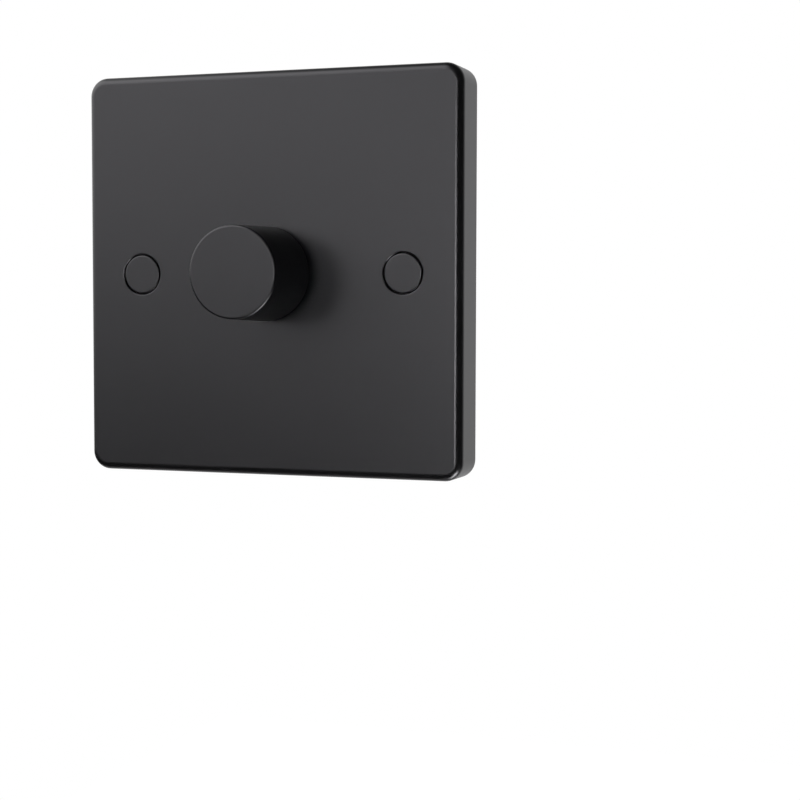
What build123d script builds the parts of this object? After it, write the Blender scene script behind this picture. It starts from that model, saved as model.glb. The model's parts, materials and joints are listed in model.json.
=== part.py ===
from build123d import *
import math
import os

# Rotary dimmer on a square wall plate: a pressed steel plate with a push knob, two screw caps
# and two fixing screws, and behind it the dimmer module whose threaded bush carries the plate.
# Frame: +X to the right seen from the front, +Y into the wall, +Z up.
# Origin: the centre of the plate, on the plane of the wall.
# Millimetres and degrees.

# Wall plate
PLATE_SIZE = 86.0
PLATE_DEPTH = 10.0
PLATE_SHEET = 1.0
PLATE_CORNER = 4.0
PLATE_EDGE_ROUND = 1.6
FIXING_SPACING = 60.3
CAP_RADIUS = 4.2
CAP_GAP = 0.15
CAP_DEPTH = 1.9
CAP_TOP = 0.9
CAP_SKIRT = 0.7
CAP_EDGE = 0.3
RECESS_EDGE = 0.3
CAP_RIB_COUNT = 3
CAP_RIB_RADIUS = 0.4

# Fixing screws
SCREW_HEAD_RADIUS = 3.4
SCREW_THREAD_RADIUS = 1.75
SCREW_NECK_RADIUS = 1.45
SCREW_LENGTH = 24.0
SCREW_HOLE_RADIUS = 2.0
SCREW_HOLE_LAND = 0.5
SCREW_SLOT_WIDTH = 0.9
SCREW_SLOT_DEPTH = 0.8
SCREW_TIP_CHAMFER = 0.5

# Insulating liner inside the plate
LINER_FLOOR = 1.0
LINER_WALL = 1.2
LINER_GAP = 0.15
LINER_SETBACK = 0.8
LINER_RIB = 1.2
LINER_RIB_HEIGHT = 1.4
LINER_MIDDLE_RIB = 20.0
LINER_END_RIB_INSET = 4.6
GUIDE_RIB_HEIGHT = 3.0
GUIDE_GAP = 0.2

# Module case and cover
CASE_LENGTH = 61.6
CASE_WIDTH = 26.4
CASE_HEIGHT = 21.6
CASE_WALL = 1.5
CASE_CORNER = 2.0
CASE_EDGE_ROUND = 1.0
COVER_THICKNESS = 1.2
COVER_SEAT = 0.7
COVER_GAP = 0.08
COVER_EDGE_CHAMFER = 0.25
POST_RADIUS = 1.4
POST_HEIGHT = 1.05
PRY_SLOT_WIDTH = 5.0
PRY_SLOT_DEPTH = 0.6

# Circuit board
BOARD_THICKNESS = 1.2
BOARD_GAP = 0.4
LEAD_SIZE = 0.6
LEAD_HOLE_GAP = 0.1
LEAD_END = 0.75

# Rotary control with its threaded bush
BUSH_RADIUS = 5.0
BUSH_FLAT = 4.15
BUSH_HEIGHT = 5.3
BUSH_CHAMFER = 0.4
BUSH_MOUTH_RADIUS = 3.6
BUSH_MOUTH_DEPTH = 0.7
BUSH_HOLE_GAP = 0.1
PLATE_HOLE_GAP = 0.2
CONTROL_SIZE = 14.0
CONTROL_CHAMFER = 1.5
CONTROL_DEPTH = 7.0
CONTROL_FRONT_WALL = 1.2
CONTROL_CAVITY_RADIUS = 6.0
STOP_POST_HALF_ANGLE = 16.0
STOP_LUG_HALF_ANGLE = 12.0
STOP_MARGIN = 2.0
TURN_RANGE = 300.0
TURN_GAP = 0.06
WAFER_THICKNESS = 0.8
WAFER_TAIL = 2.2
ROTOR_RADIUS = 4.7
ROTOR_THICKNESS = 1.6
ROTOR_SET = 1.3
WIPER_THICKNESS = 0.3
WIPER_WIDTH = 1.6
WIPER_FOOT_RADIUS = 0.5
WIPER_FOOT_PLACE = 3.6
WIPER_FOOT_GAP = 0.05

# Shaft
SHAFT_RADIUS = 3.0
SHAFT_ABOVE_BUSH = 10.8
SHAFT_FLAT_LENGTH = 8.0
SHAFT_ACROSS_FLAT = 4.5
SHAFT_CHAMFER = 0.5
COLLAR_RADIUS = 4.4
COLLAR_THICKNESS = 1.0
KEY_RADIUS = 2.4
KEY_ACROSS_FLATS = 3.6
KEY_TAIL = 0.6
PUSH_TRAVEL = 1.2

# Push switch under the control
SWITCH_SIZE = 13.4
SWITCH_FLOOR = 0.9
PLUNGER_SIZE = 7.0
PLUNGER_THICKNESS = 2.6
PLUNGER_SPIGOT_RADIUS = 1.7
PLUNGER_SPIGOT = 1.5
PLUNGER_GAP = 0.12
SPRING_RADIUS = 2.4
SPRING_WIRE = 0.25
SPRING_TURNS = 4
SPRING_END_GAP = 0.05

# Nut and washer that clamp the plate
NUT_ACROSS_FLATS = 14.0
NUT_THICKNESS = 2.0
NUT_HOLE_GAP = 0.05
NUT_CHAMFER = 0.35
WASHER_RADIUS = 7.3
WASHER_THICKNESS = 0.6

# Knob
KNOB_FRONT_RADIUS = 9.6
KNOB_BASE_RADIUS = 10.0
KNOB_LENGTH = 16.5
KNOB_GAP = 2.0
KNOB_EDGE = 0.4
KNOB_WALL = 1.55
KNOB_FRONT_WALL = 2.2
KNOB_HUB_RADIUS = 4.7
KNOB_HUB_CLEARANCE = 1.8
KNOB_BORE_GAP = 0.04
KNOB_RIB = 1.0
KNOB_RIB_COUNT = 4
KNOB_RIB_CLEARANCE = 3.4
CLIP_GAP = 0.45
CLIP_THICKNESS = 0.25
CLIP_WIDTH = 3.0
CLIP_LENGTH = 7.0
CLIP_MARGIN = 0.03

# Terminal block
WAYS = 3
WAY_PITCH = 5.08
TERMINAL_SIDE_GAP = 1.28
TERMINAL_HEIGHT = 10.0
TERMINAL_LENGTH = 8.4
TERMINAL_GAP = 0.1
TERMINAL_SCREW_INSET = 5.04
ACCESS_HOLE_RADIUS = 2.2
GUIDE_TUBE_WIDTH = 6.4
GUIDE_TUBE_GAP = 0.15
WINDOW_MARGIN = 0.1
MOUTH_WIDTH = 4.3
MOUTH_HEIGHT = 5.7
MOUTH_DROP = 2.85
MOUTH_DEPTH = 1.2
WIRE_HOLE_SIZE = 3.1
CLAMP_SCREW_HEAD_RADIUS = 1.9
CLAMP_SCREW_HEAD = 1.4
CLAMP_SCREW_DROP = 0.4
CLAMP_SCREW_RADIUS = 1.5
CLAMP_SCREW_PITCH = 0.5
CLAMP_SCREW_TURNS = 4
CLAMP_SLOT_WIDTH = 0.7
CLAMP_SLOT_DEPTH = 0.7
LEDGE_THICKNESS = 0.45
THREAD_GAP = 0.05
CAGE_WIDTH = 4.0
CAGE_DEPTH = 4.8
CAGE_HEIGHT = 4.4
CAGE_TOP = 1.0
CAGE_FLOOR = 0.5
CAGE_SIDE = 0.45
CAGE_GAP = 0.1
CAGE_HEADROOM = 0.2
TONGUE_WIDTH = 2.8
TONGUE_THICKNESS = 0.5
TONGUE_LEG = 0.45

# Brightness trimmer behind the side hole
TRIMMER_INSET = 5.2
TRIMMER_RISE = 4.25
TRIMMER_SIZE = 7.0
TRIMMER_HEIGHT = 7.2
TRIMMER_THICKNESS = 4.7
TRIMMER_SETBACK = 0.4
TRIMMER_ROTOR_RADIUS = 1.9
TRIMMER_ROTOR_DEPTH = 0.9
TRIMMER_ROTOR_PROUD = 0.2
TRIMMER_SLOT_WIDTH = 0.6
TRIMMER_SLOT_DEPTH = 0.45
TRIMMER_LEAD_INSET = 0.8
TRIMMER_LEAD_OFFSET = 2.5
TRIM_HOLE_RADIUS = 2.2

# Earth terminal on the back of the plate
EARTH_INSET_X = 15.0
EARTH_INSET_Z = 16.0
EARTH_TAB_WIDTH = 8.0
EARTH_TAB_THICKNESS = 1.0
EARTH_FOOT_LENGTH = 5.0
EARTH_TAB_RISE = 6.6
EARTH_SCREW_LENGTH = 5.5
EARTH_HEAD_RADIUS = 3.2
EARTH_HEAD = 2.0
EARTH_HEAD_EDGE = 0.6
EARTH_SADDLE_THICKNESS = 0.8
EARTH_SADDLE_SIZE = 7.0
EARTH_SADDLE_LIP = 1.0
EARTH_PITCH = 0.6
EARTH_TURNS = 3

# Components on the board
COMPONENT_GAP = 0.3
COMPONENT_LIFT = 0.1
CAN_EDGE = 0.4
FUSE_RADIUS = 4.1
FUSE_HEIGHT = 7.6
FUSE_SIDE_GAP = 0.6
FUSE_LEAD_OFFSET = 2.54
FILM_WIDTH = 11.0
FILM_HEIGHT = 11.0
FILM_DEPTH = 9.6
FILM_SIDE_GAP = 0.6
FILM_LEAD_OFFSET = 3.75
SMOOTHING_RADIUS = 4.0
SMOOTHING_HEIGHT = 11.5
SMOOTHING_SIDE_GAP = 1.5
SMOOTHING_LEAD_OFFSET = 1.75
CHOKE_RADIUS = 4.4
CHOKE_HEIGHT = 9.0
CHOKE_SIDE_GAP = 1.0
CHOKE_NECK_RADIUS = 2.6
CHOKE_FLANGE = 1.3
CHOKE_MARGIN = 0.6
CHOKE_LEAD_OFFSET = 2.5
HEAT_PLATE_SIDE_GAP = 1.1
HEAT_PLATE_TRIMMER_GAP = 2.0
HEAT_PLATE_INSET = 1.9
HEAT_PLATE_THICKNESS = 1.2
HEAT_PLATE_HEIGHT = 12.0
TRANSISTOR_WIDTH = 6.0
TRANSISTOR_HEIGHT = 8.6
TRANSISTOR_THICKNESS = 2.4
TRANSISTOR_MARGIN = 0.1
TRANSISTOR_LIFT = 2.2
TRANSISTOR_CHAMFER = 0.4
TRANSISTOR_LEAD_PITCH = 2.0
CHIP_WIDTH = 5.0
CHIP_HEIGHT = 1.3
CHIP_DEPTH = 2.6
CHIP_CHAMFER = 0.2
CHIP_LEG_PITCH = 1.27
CHIP_LEG_WIDTH = 0.4
CHIP_LEG_REACH = 0.6
CHIP_LEG_THICKNESS = 0.3

# Places along Y that follow from the sizes
FRONT_Y = -PLATE_DEPTH
SHEET_BACK_Y = FRONT_Y + PLATE_SHEET
RECESS_FLOOR_Y = FRONT_Y + CAP_DEPTH
CASE_FRONT_Y = SHEET_BACK_Y + LINER_FLOOR
CASE_BACK_Y = CASE_FRONT_Y + CASE_HEIGHT
CASE_INNER_Y = CASE_FRONT_Y + CASE_WALL
COVER_INNER_Y = CASE_BACK_Y - COVER_THICKNESS
BOARD_BACK_Y = COVER_INNER_Y - POST_HEIGHT
BOARD_FRONT_Y = BOARD_BACK_Y - BOARD_THICKNESS
BUSH_TOP_Y = CASE_FRONT_Y - BUSH_HEIGHT
SHAFT_TOP_Y = BUSH_TOP_Y - SHAFT_ABOVE_BUSH
CAVITY_FRONT_Y = CASE_INNER_Y + CONTROL_FRONT_WALL
CONTROL_BACK_Y = CASE_INNER_Y + CONTROL_DEPTH
WAFER_BACK_Y = CONTROL_BACK_Y + WAFER_THICKNESS
ROTOR_BACK_Y = CONTROL_BACK_Y - ROTOR_SET
ROTOR_FRONT_Y = ROTOR_BACK_Y - ROTOR_THICKNESS
SHAFT_TAIL_Y = WAFER_BACK_Y + KEY_TAIL
PLUNGER_BACK_Y = SHAFT_TAIL_Y + PLUNGER_THICKNESS
SWITCH_FLOOR_Y = BOARD_FRONT_Y - SWITCH_FLOOR
NUT_BACK_Y = FRONT_Y - WASHER_THICKNESS
NUT_FRONT_Y = NUT_BACK_Y - NUT_THICKNESS
KNOB_BASE_Y = FRONT_Y - KNOB_GAP
KNOB_FRONT_Y = KNOB_BASE_Y - KNOB_LENGTH
KNOB_CAVITY_Y = KNOB_FRONT_Y + KNOB_FRONT_WALL
HUB_END_Y = BUSH_TOP_Y - KNOB_HUB_CLEARANCE
TERMINAL_TOP_Y = BOARD_FRONT_Y - TERMINAL_HEIGHT
CLAMP_HEAD_Y = TERMINAL_TOP_Y + CLAMP_SCREW_DROP
LEDGE_Y = CLAMP_HEAD_Y + CLAMP_SCREW_HEAD
CHAMBER_TOP_Y = LEDGE_Y + LEDGE_THICKNESS
CLAMP_TRAVEL = CLAMP_SCREW_PITCH * CLAMP_SCREW_TURNS
CAGE_TOP_Y = CHAMBER_TOP_Y + CAGE_HEADROOM + CLAMP_TRAVEL
CAGE_BOTTOM_Y = CAGE_TOP_Y + CAGE_HEIGHT
TONGUE_Y = CAGE_TOP_Y + CAGE_TOP + THREAD_GAP
MOUTH_TOP_Y = TERMINAL_TOP_Y + MOUTH_DROP
MOUTH_BOTTOM_Y = MOUTH_TOP_Y + MOUTH_HEIGHT
TRIMMER_Y = BOARD_FRONT_Y - TRIMMER_RISE
EARTH_TAB_Y = SHEET_BACK_Y + EARTH_TAB_RISE

# Places across the module that follow from the sizes
INNER_WIDTH = CASE_WIDTH - 2 * CASE_WALL
INNER_LENGTH = CASE_LENGTH - 2 * CASE_WALL
BOARD_WIDTH = INNER_WIDTH - 2 * BOARD_GAP
BOARD_LENGTH = INNER_LENGTH - 2 * BOARD_GAP
TERMINAL_WIDTH = WAYS * WAY_PITCH
TERMINAL_CENTRE_X = INNER_WIDTH / 2 - TERMINAL_SIDE_GAP - TERMINAL_WIDTH / 2
WIRE_FACE_Z = -INNER_LENGTH / 2 + TERMINAL_GAP
TERMINAL_BACK_Z = WIRE_FACE_Z + TERMINAL_LENGTH
CLAMP_Z = WIRE_FACE_Z + TERMINAL_SCREW_INSET
WAY_X = [TERMINAL_CENTRE_X + (i - (WAYS - 1) / 2) * WAY_PITCH for i in range(WAYS)]
CAGE_FRONT_Z = CLAMP_Z - CAGE_DEPTH / 2
CAGE_BACK_Z = CLAMP_Z + CAGE_DEPTH / 2
PIN_Z = CAGE_BACK_Z + CAGE_GAP + TONGUE_LEG / 2
WAFER_PIN_Z = CONTROL_SIZE / 2 + WAFER_TAIL / 2
WAFER_PIN_SPACING = 5.0
SWITCH_PIN_PLACE = (4.5, -5.2)
TRIMMER_FACE_X = INNER_WIDTH / 2 - TRIMMER_SETBACK
TRIMMER_BACK_X = TRIMMER_FACE_X - TRIMMER_THICKNESS
TRIMMER_Z = CASE_LENGTH / 2 - TRIMMER_INSET
EARTH_X = -PLATE_SIZE / 2 + EARTH_INSET_X
EARTH_Z = PLATE_SIZE / 2 - EARTH_INSET_Z
WAFER_END_Z = CONTROL_SIZE / 2 + WAFER_TAIL
FUSE_PLACE = (-INNER_WIDTH / 2 + FUSE_SIDE_GAP + FUSE_RADIUS,
              TERMINAL_BACK_Z + COMPONENT_GAP + FUSE_RADIUS)
FILM_PLACE = (INNER_WIDTH / 2 - FILM_SIDE_GAP - FILM_WIDTH / 2,
              TERMINAL_BACK_Z + COMPONENT_GAP + FILM_DEPTH / 2)
SMOOTHING_PLACE = (INNER_WIDTH / 2 - SMOOTHING_SIDE_GAP - SMOOTHING_RADIUS,
                   WAFER_END_Z + COMPONENT_GAP + SMOOTHING_RADIUS)
CHOKE_PLACE = (-INNER_WIDTH / 2 + CHOKE_SIDE_GAP + CHOKE_RADIUS,
               WAFER_END_Z + COMPONENT_GAP + CHOKE_RADIUS)
CHIP_PLACE = (CHOKE_PLACE[0], CHOKE_PLACE[1] + CHOKE_RADIUS + COMPONENT_LIFT + CHIP_LEG_REACH + CHIP_DEPTH / 2)
HEAT_PLATE_X = (-INNER_WIDTH / 2 + HEAT_PLATE_SIDE_GAP, TRIMMER_BACK_X - HEAT_PLATE_TRIMMER_GAP)
HEAT_PLATE_Z = INNER_LENGTH / 2 - HEAT_PLATE_INSET
TRANSISTOR_INSET = TRANSISTOR_MARGIN + TRANSISTOR_WIDTH / 2
TRANSISTOR_X = (HEAT_PLATE_X[0] + TRANSISTOR_INSET, HEAT_PLATE_X[1] - TRANSISTOR_INSET)
TRANSISTOR_BACK_Z = HEAT_PLATE_Z - HEAT_PLATE_THICKNESS / 2
INNER_SIZE = PLATE_SIZE - 2 * PLATE_SHEET
LINER_SIZE = INNER_SIZE - 2 * LINER_GAP
RECESS_RADIUS = CAP_RADIUS + CAP_GAP
CUP_RADIUS = RECESS_RADIUS + PLATE_SHEET
SEAT_RADIUS = SCREW_HEAD_RADIUS + 0.1
FIXING_X = (-FIXING_SPACING / 2, FIXING_SPACING / 2)


def block(x, y, z):
    """A box between the low and high ends given on each axis."""
    size = [high - low for low, high in (x, y, z)]
    middle = [(low + high) / 2 for low, high in (x, y, z)]
    return Pos(*middle) * Box(*size)


def rod(radius, y_from, y_to, x=0.0, z=0.0):
    """A round bar along Y."""
    return Pos(x, (y_from + y_to) / 2, z) * Rot(90, 0, 0) * Cylinder(radius, y_to - y_from)


def turned(profile, x=0.0, z=0.0):
    """A solid of revolution about a line along Y, from points of radius and Y."""
    return Pos(x, 0, z) * revolve(make_face(Polyline(profile, close=True)), Axis.Y)


def soft_rim(radius, y, size, side):
    """Profile points of a rim rounded in three facets; side is 1 for a disc and -1 for a hole."""
    steps = [math.radians(angle) for angle in (0, 30, 60, 90)]
    return [(radius - side * size * (1 - math.sin(a)), y + size * (1 - math.cos(a))) for a in steps]


def rounded_slab(width, length, corner, y_from, y_to):
    """A rounded rectangle seen from the front, between two depths."""
    face = Plane((0, y_to, 0), x_dir=(1, 0, 0), z_dir=(0, -1, 0)) * RectangleRounded(width, length, corner)
    return extrude(face, y_to - y_from)


def edges_at(shape, y):
    """The edges that lie wholly at one depth."""
    return shape.edges().filter_by_position(Axis.Y, y - 0.001, y + 0.001)


def sector(radius_in, radius_out, middle_angle, half_angle, y_from, y_to):
    """A piece of a ring about the shaft's axis. Angles run from +X towards -Z, as the knob turns."""
    reach = 2 * radius_out
    corners = [(0, 0)]
    for step in (-1, 0, 1):
        angle = math.radians(middle_angle + step * half_angle)
        corners.append((reach * math.cos(angle), -reach * math.sin(angle)))
    plane = Plane((0, y_to, 0), x_dir=(1, 0, 0), z_dir=(0, -1, 0))
    wedge = extrude(plane * make_face(Polyline(corners, close=True)), y_to - y_from)
    return (rod(radius_out, y_from, y_to) - rod(radius_in, y_from, y_to)) & wedge


def flatted(radius, flat_from, flat_to, y_from, y_to):
    """A round bar along Y cut to flats at two places along X."""
    return rod(radius, y_from, y_to) & block((flat_from, flat_to), (y_from, y_to), (-radius, radius))


def bush_shape(gap, y_from, y_to):
    """The outline of the bush, with its one flat towards +X, grown by a gap."""
    return flatted(BUSH_RADIUS + gap, -BUSH_RADIUS - gap, BUSH_FLAT + gap, y_from, y_to)


def key_shape(gap, y_from, y_to):
    """The outline of the shaft's key, with two flats, grown by a gap."""
    half = KEY_ACROSS_FLATS / 2 + gap
    return flatted(KEY_RADIUS + gap, -half, half, y_from, y_to)


def square_pin(gap, y_from, y_to, x, z):
    """A square pin along Y, or the hole for it, grown by a gap."""
    half = LEAD_SIZE / 2 + gap
    return block((x - half, x + half), (y_from, y_to), (z - half, z + half))


# Wall plate, caps and fixing screws


def screw_cup(x):
    """The pressed cup that holds the cap and seats the head of a fixing screw."""
    cone_end = RECESS_FLOOR_Y + SEAT_RADIUS - SCREW_HOLE_RADIUS
    lip = cone_end + SCREW_HOLE_LAND
    slant = (math.sqrt(2) - 1) * PLATE_SHEET
    outer = [
        (RECESS_RADIUS + PLATE_SHEET, FRONT_Y),
        (RECESS_RADIUS + PLATE_SHEET, RECESS_FLOOR_Y + PLATE_SHEET),
        (SEAT_RADIUS + slant, RECESS_FLOOR_Y + PLATE_SHEET),
        (SCREW_HOLE_RADIUS + math.sqrt(2) * PLATE_SHEET - SCREW_HOLE_LAND, lip),
    ]
    inner = [
        (SCREW_HOLE_RADIUS, lip),
        (SCREW_HOLE_RADIUS, cone_end),
        (SEAT_RADIUS, RECESS_FLOOR_Y),
        (RECESS_RADIUS, RECESS_FLOOR_Y),
    ]
    mouth = soft_rim(RECESS_RADIUS, FRONT_Y, RECESS_EDGE, -1)
    wall = outer + inner + [(RECESS_RADIUS, FRONT_Y)]
    hollow = [(0, lip)] + inner + mouth[::-1] + [(0, FRONT_Y)]
    return turned(wall, x), turned(hollow, x)


def front_plate():
    """Pressed steel plate, hollow behind, with two screw cups and the bush hole."""
    outer = rounded_slab(PLATE_SIZE, PLATE_SIZE, PLATE_CORNER, FRONT_Y, 0)
    outer = fillet(edges_at(outer, FRONT_Y), PLATE_EDGE_ROUND)
    inner = rounded_slab(INNER_SIZE, INNER_SIZE, PLATE_CORNER - PLATE_SHEET, SHEET_BACK_Y, 0)
    inner = chamfer(edges_at(inner, SHEET_BACK_Y), PLATE_EDGE_ROUND - PLATE_SHEET)
    plate = outer - inner
    for x in FIXING_X:
        wall, hollow = screw_cup(x)
        plate = plate + wall - hollow
    return plate - bush_shape(PLATE_HOLE_GAP, FRONT_Y, SHEET_BACK_Y)


def screw_cap(x):
    """Press-in cap: a thin disc with a skirt and small ribs that grip the recess."""
    rim = soft_rim(CAP_RADIUS, FRONT_Y, CAP_EDGE, 1)
    outer = turned([(0, FRONT_Y)] + rim + [(CAP_RADIUS, RECESS_FLOOR_Y), (0, RECESS_FLOOR_Y)], x)
    cap = outer - rod(CAP_RADIUS - CAP_SKIRT, FRONT_Y + CAP_TOP, RECESS_FLOOR_Y, x)
    for i in range(CAP_RIB_COUNT):
        angle = math.radians(90 + 360 * i / CAP_RIB_COUNT)
        place = RECESS_RADIUS - CAP_RIB_RADIUS
        rib = rod(CAP_RIB_RADIUS, FRONT_Y + CAP_TOP, RECESS_FLOOR_Y,
                  x + place * math.cos(angle), place * math.sin(angle))
        cap += rib
    return cap


def fixing_screw(x):
    """Countersunk slotted screw that fixes the plate to its wall box."""
    top = RECESS_FLOOR_Y + SEAT_RADIUS - SCREW_HEAD_RADIUS - 0.02
    neck = top + SCREW_HEAD_RADIUS - SCREW_NECK_RADIUS
    thread = RECESS_FLOOR_Y + SEAT_RADIUS - SCREW_HOLE_RADIUS + SCREW_HOLE_LAND + 1.0
    tip = top + SCREW_LENGTH
    screw = turned([
        (0, top), (SCREW_HEAD_RADIUS, top), (SCREW_NECK_RADIUS, neck), (SCREW_NECK_RADIUS, thread),
        (SCREW_THREAD_RADIUS, thread), (SCREW_THREAD_RADIUS, tip - SCREW_TIP_CHAMFER),
        (SCREW_THREAD_RADIUS - SCREW_TIP_CHAMFER, tip), (0, tip)], x)
    half = SCREW_SLOT_WIDTH / 2
    reach = SCREW_HEAD_RADIUS + 1
    return screw - block((x - reach, x + reach), (top - 1, top + SCREW_SLOT_DEPTH), (-half, half))


def plate_liner():
    """Moulded tray that insulates the steel plate from the module, with stiffening ribs."""
    corner = PLATE_CORNER - PLATE_SHEET - LINER_GAP
    outer = rounded_slab(LINER_SIZE, LINER_SIZE, corner, SHEET_BACK_Y, -LINER_SETBACK)
    outer = chamfer(edges_at(outer, SHEET_BACK_Y), PLATE_EDGE_ROUND - PLATE_SHEET)
    room = LINER_SIZE - 2 * LINER_WALL
    inner = rounded_slab(room, room, corner - LINER_WALL, CASE_FRONT_Y, -LINER_SETBACK)
    liner = outer - inner
    rib_y = (CASE_FRONT_Y, CASE_FRONT_Y + LINER_RIB_HEIGHT)
    guide_y = (CASE_FRONT_Y, CASE_FRONT_Y + GUIDE_RIB_HEIGHT)
    guide_in = CASE_WIDTH / 2 + GUIDE_GAP
    guide_z = (-CASE_LENGTH / 2, CASE_LENGTH / 2)
    for side in (-1, 1):
        guide_x = sorted((side * guide_in, side * (guide_in + LINER_RIB)))
        liner += block(guide_x, guide_y, guide_z)
        span = sorted((side * (guide_in + LINER_RIB), side * room / 2))
        middle = side * LINER_MIDDLE_RIB
        end = side * (room / 2 - LINER_END_RIB_INSET)
        for z in (-middle, middle):
            liner += block(span, rib_y, (z - LINER_RIB / 2, z + LINER_RIB / 2))
        liner += block((-room / 2, room / 2), rib_y, (end - LINER_RIB / 2, end + LINER_RIB / 2))
        upright = side * FIXING_SPACING / 2
        liner += block((upright - LINER_RIB / 2, upright + LINER_RIB / 2), rib_y, (-room / 2, room / 2))
    for x in FIXING_X:
        liner -= rod(CUP_RADIUS + LINER_GAP, SHEET_BACK_Y, 0, x)
    liner -= bush_shape(PLATE_HOLE_GAP, SHEET_BACK_Y, CASE_FRONT_Y)
    half = EARTH_TAB_WIDTH / 2 + LINER_GAP
    low = EARTH_Z - EARTH_TAB_WIDTH / 2 - EARTH_FOOT_LENGTH - LINER_GAP
    high = EARTH_Z + EARTH_TAB_WIDTH / 2 + LINER_GAP
    return liner - block((EARTH_X - half, EARTH_X + half), (SHEET_BACK_Y, 0), (low, high))


def earth_tab():
    """Brass tab welded to the back of the plate and bent up to take the earth screw."""
    half = EARTH_TAB_WIDTH / 2
    across = (EARTH_X - half, EARTH_X + half)
    low = EARTH_Z - half
    thick = EARTH_TAB_THICKNESS
    foot = block(across, (SHEET_BACK_Y, SHEET_BACK_Y + thick), (low - EARTH_FOOT_LENGTH, low))
    riser = block(across, (SHEET_BACK_Y, EARTH_TAB_Y), (low - thick, low))
    top = block(across, (EARTH_TAB_Y - thick, EARTH_TAB_Y), (low - thick, EARTH_Z + half))
    tab = foot + riser + top
    bend = [e for e in tab.edges().filter_by(Axis.X)
            if abs(e.center().Y - EARTH_TAB_Y) < 0.001 and abs(e.center().Z - low + thick) < 0.001]
    tab = fillet(bend, thick * 0.9)
    return tab - rod(SCREW_THREAD_RADIUS + THREAD_GAP, EARTH_TAB_Y - thick, EARTH_TAB_Y, EARTH_X, EARTH_Z)


def earth_saddle():
    """Square clamp washer with turned-down lips, which the earth screw carries."""
    half = EARTH_SADDLE_SIZE / 2
    low = EARTH_TAB_Y
    high = low + EARTH_SADDLE_THICKNESS
    thick = EARTH_SADDLE_THICKNESS
    saddle = block((EARTH_X - half, EARTH_X + half), (low, high), (EARTH_Z - half, EARTH_Z + half))
    tab_edge = EARTH_TAB_WIDTH / 2 + EARTH_SADDLE_LIP / 4
    for side in (-1, 1):
        wing = sorted((side * half, side * (tab_edge + thick)))
        lip = sorted((side * tab_edge, side * (tab_edge + thick)))
        z = (EARTH_Z - half, EARTH_Z + half)
        saddle += block([EARTH_X + w for w in wing], (low, high), z)
        saddle += block([EARTH_X + w for w in lip], (low - EARTH_SADDLE_LIP, low), z)
    return saddle - rod(SCREW_THREAD_RADIUS + THREAD_GAP, low, high, EARTH_X, EARTH_Z)


def earth_screw():
    """Pan head screw of the earth terminal, driven from behind."""
    seat = EARTH_TAB_Y + EARTH_SADDLE_THICKNESS
    top = seat + EARTH_HEAD
    tip = seat - EARTH_SCREW_LENGTH
    head = chamfer(edges_at(rod(EARTH_HEAD_RADIUS, seat, top, EARTH_X, EARTH_Z), top), EARTH_HEAD_EDGE)
    shank = rod(SCREW_THREAD_RADIUS, tip, seat, EARTH_X, EARTH_Z)
    shank = chamfer(edges_at(shank, tip), SCREW_TIP_CHAMFER)
    half = SCREW_SLOT_WIDTH / 2
    reach = EARTH_HEAD_RADIUS + 1
    slot = block((EARTH_X - reach, EARTH_X + reach), (top - SCREW_SLOT_DEPTH, top + 1),
                 (EARTH_Z - half, EARTH_Z + half))
    return head + shank - slot


# Module case, cover and board


def module_case():
    """Moulded case, open behind, with driver guides, wire windows and the trimmer hole."""
    outer = rounded_slab(CASE_WIDTH, CASE_LENGTH, CASE_CORNER, CASE_FRONT_Y, CASE_BACK_Y)
    outer = fillet(edges_at(outer, CASE_FRONT_Y), CASE_EDGE_ROUND)
    case = outer - rounded_slab(INNER_WIDTH, INNER_LENGTH, CASE_CORNER - CASE_WALL, CASE_INNER_Y, CASE_BACK_Y)
    case -= rounded_slab(INNER_WIDTH + 2 * COVER_SEAT, INNER_LENGTH + 2 * COVER_SEAT,
                         CASE_CORNER - CASE_WALL + COVER_SEAT, COVER_INNER_Y, CASE_BACK_Y)
    tube_half = GUIDE_TUBE_WIDTH / 2
    tube_end = TERMINAL_TOP_Y - GUIDE_TUBE_GAP
    case += block((TERMINAL_CENTRE_X - TERMINAL_WIDTH / 2, TERMINAL_CENTRE_X + TERMINAL_WIDTH / 2),
                  (CASE_INNER_Y, tube_end), (CLAMP_Z - tube_half, CLAMP_Z + tube_half))
    half = MOUTH_WIDTH / 2 + WINDOW_MARGIN
    for x in WAY_X:
        case -= rod(ACCESS_HOLE_RADIUS, CASE_FRONT_Y, tube_end, x, CLAMP_Z)
        case -= block((x - half, x + half), (MOUTH_TOP_Y - WINDOW_MARGIN, MOUTH_BOTTOM_Y + WINDOW_MARGIN),
                      (-CASE_LENGTH / 2, -INNER_LENGTH / 2))
    case -= bush_shape(BUSH_HOLE_GAP, CASE_FRONT_Y, CASE_INNER_Y)
    wall_middle = (CASE_WIDTH + INNER_WIDTH) / 4
    case -= Pos(wall_middle, TRIMMER_Y, TRIMMER_Z) * Rot(0, 90, 0) * Cylinder(TRIM_HOLE_RADIUS, 2 * CASE_WALL)
    return case


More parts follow.
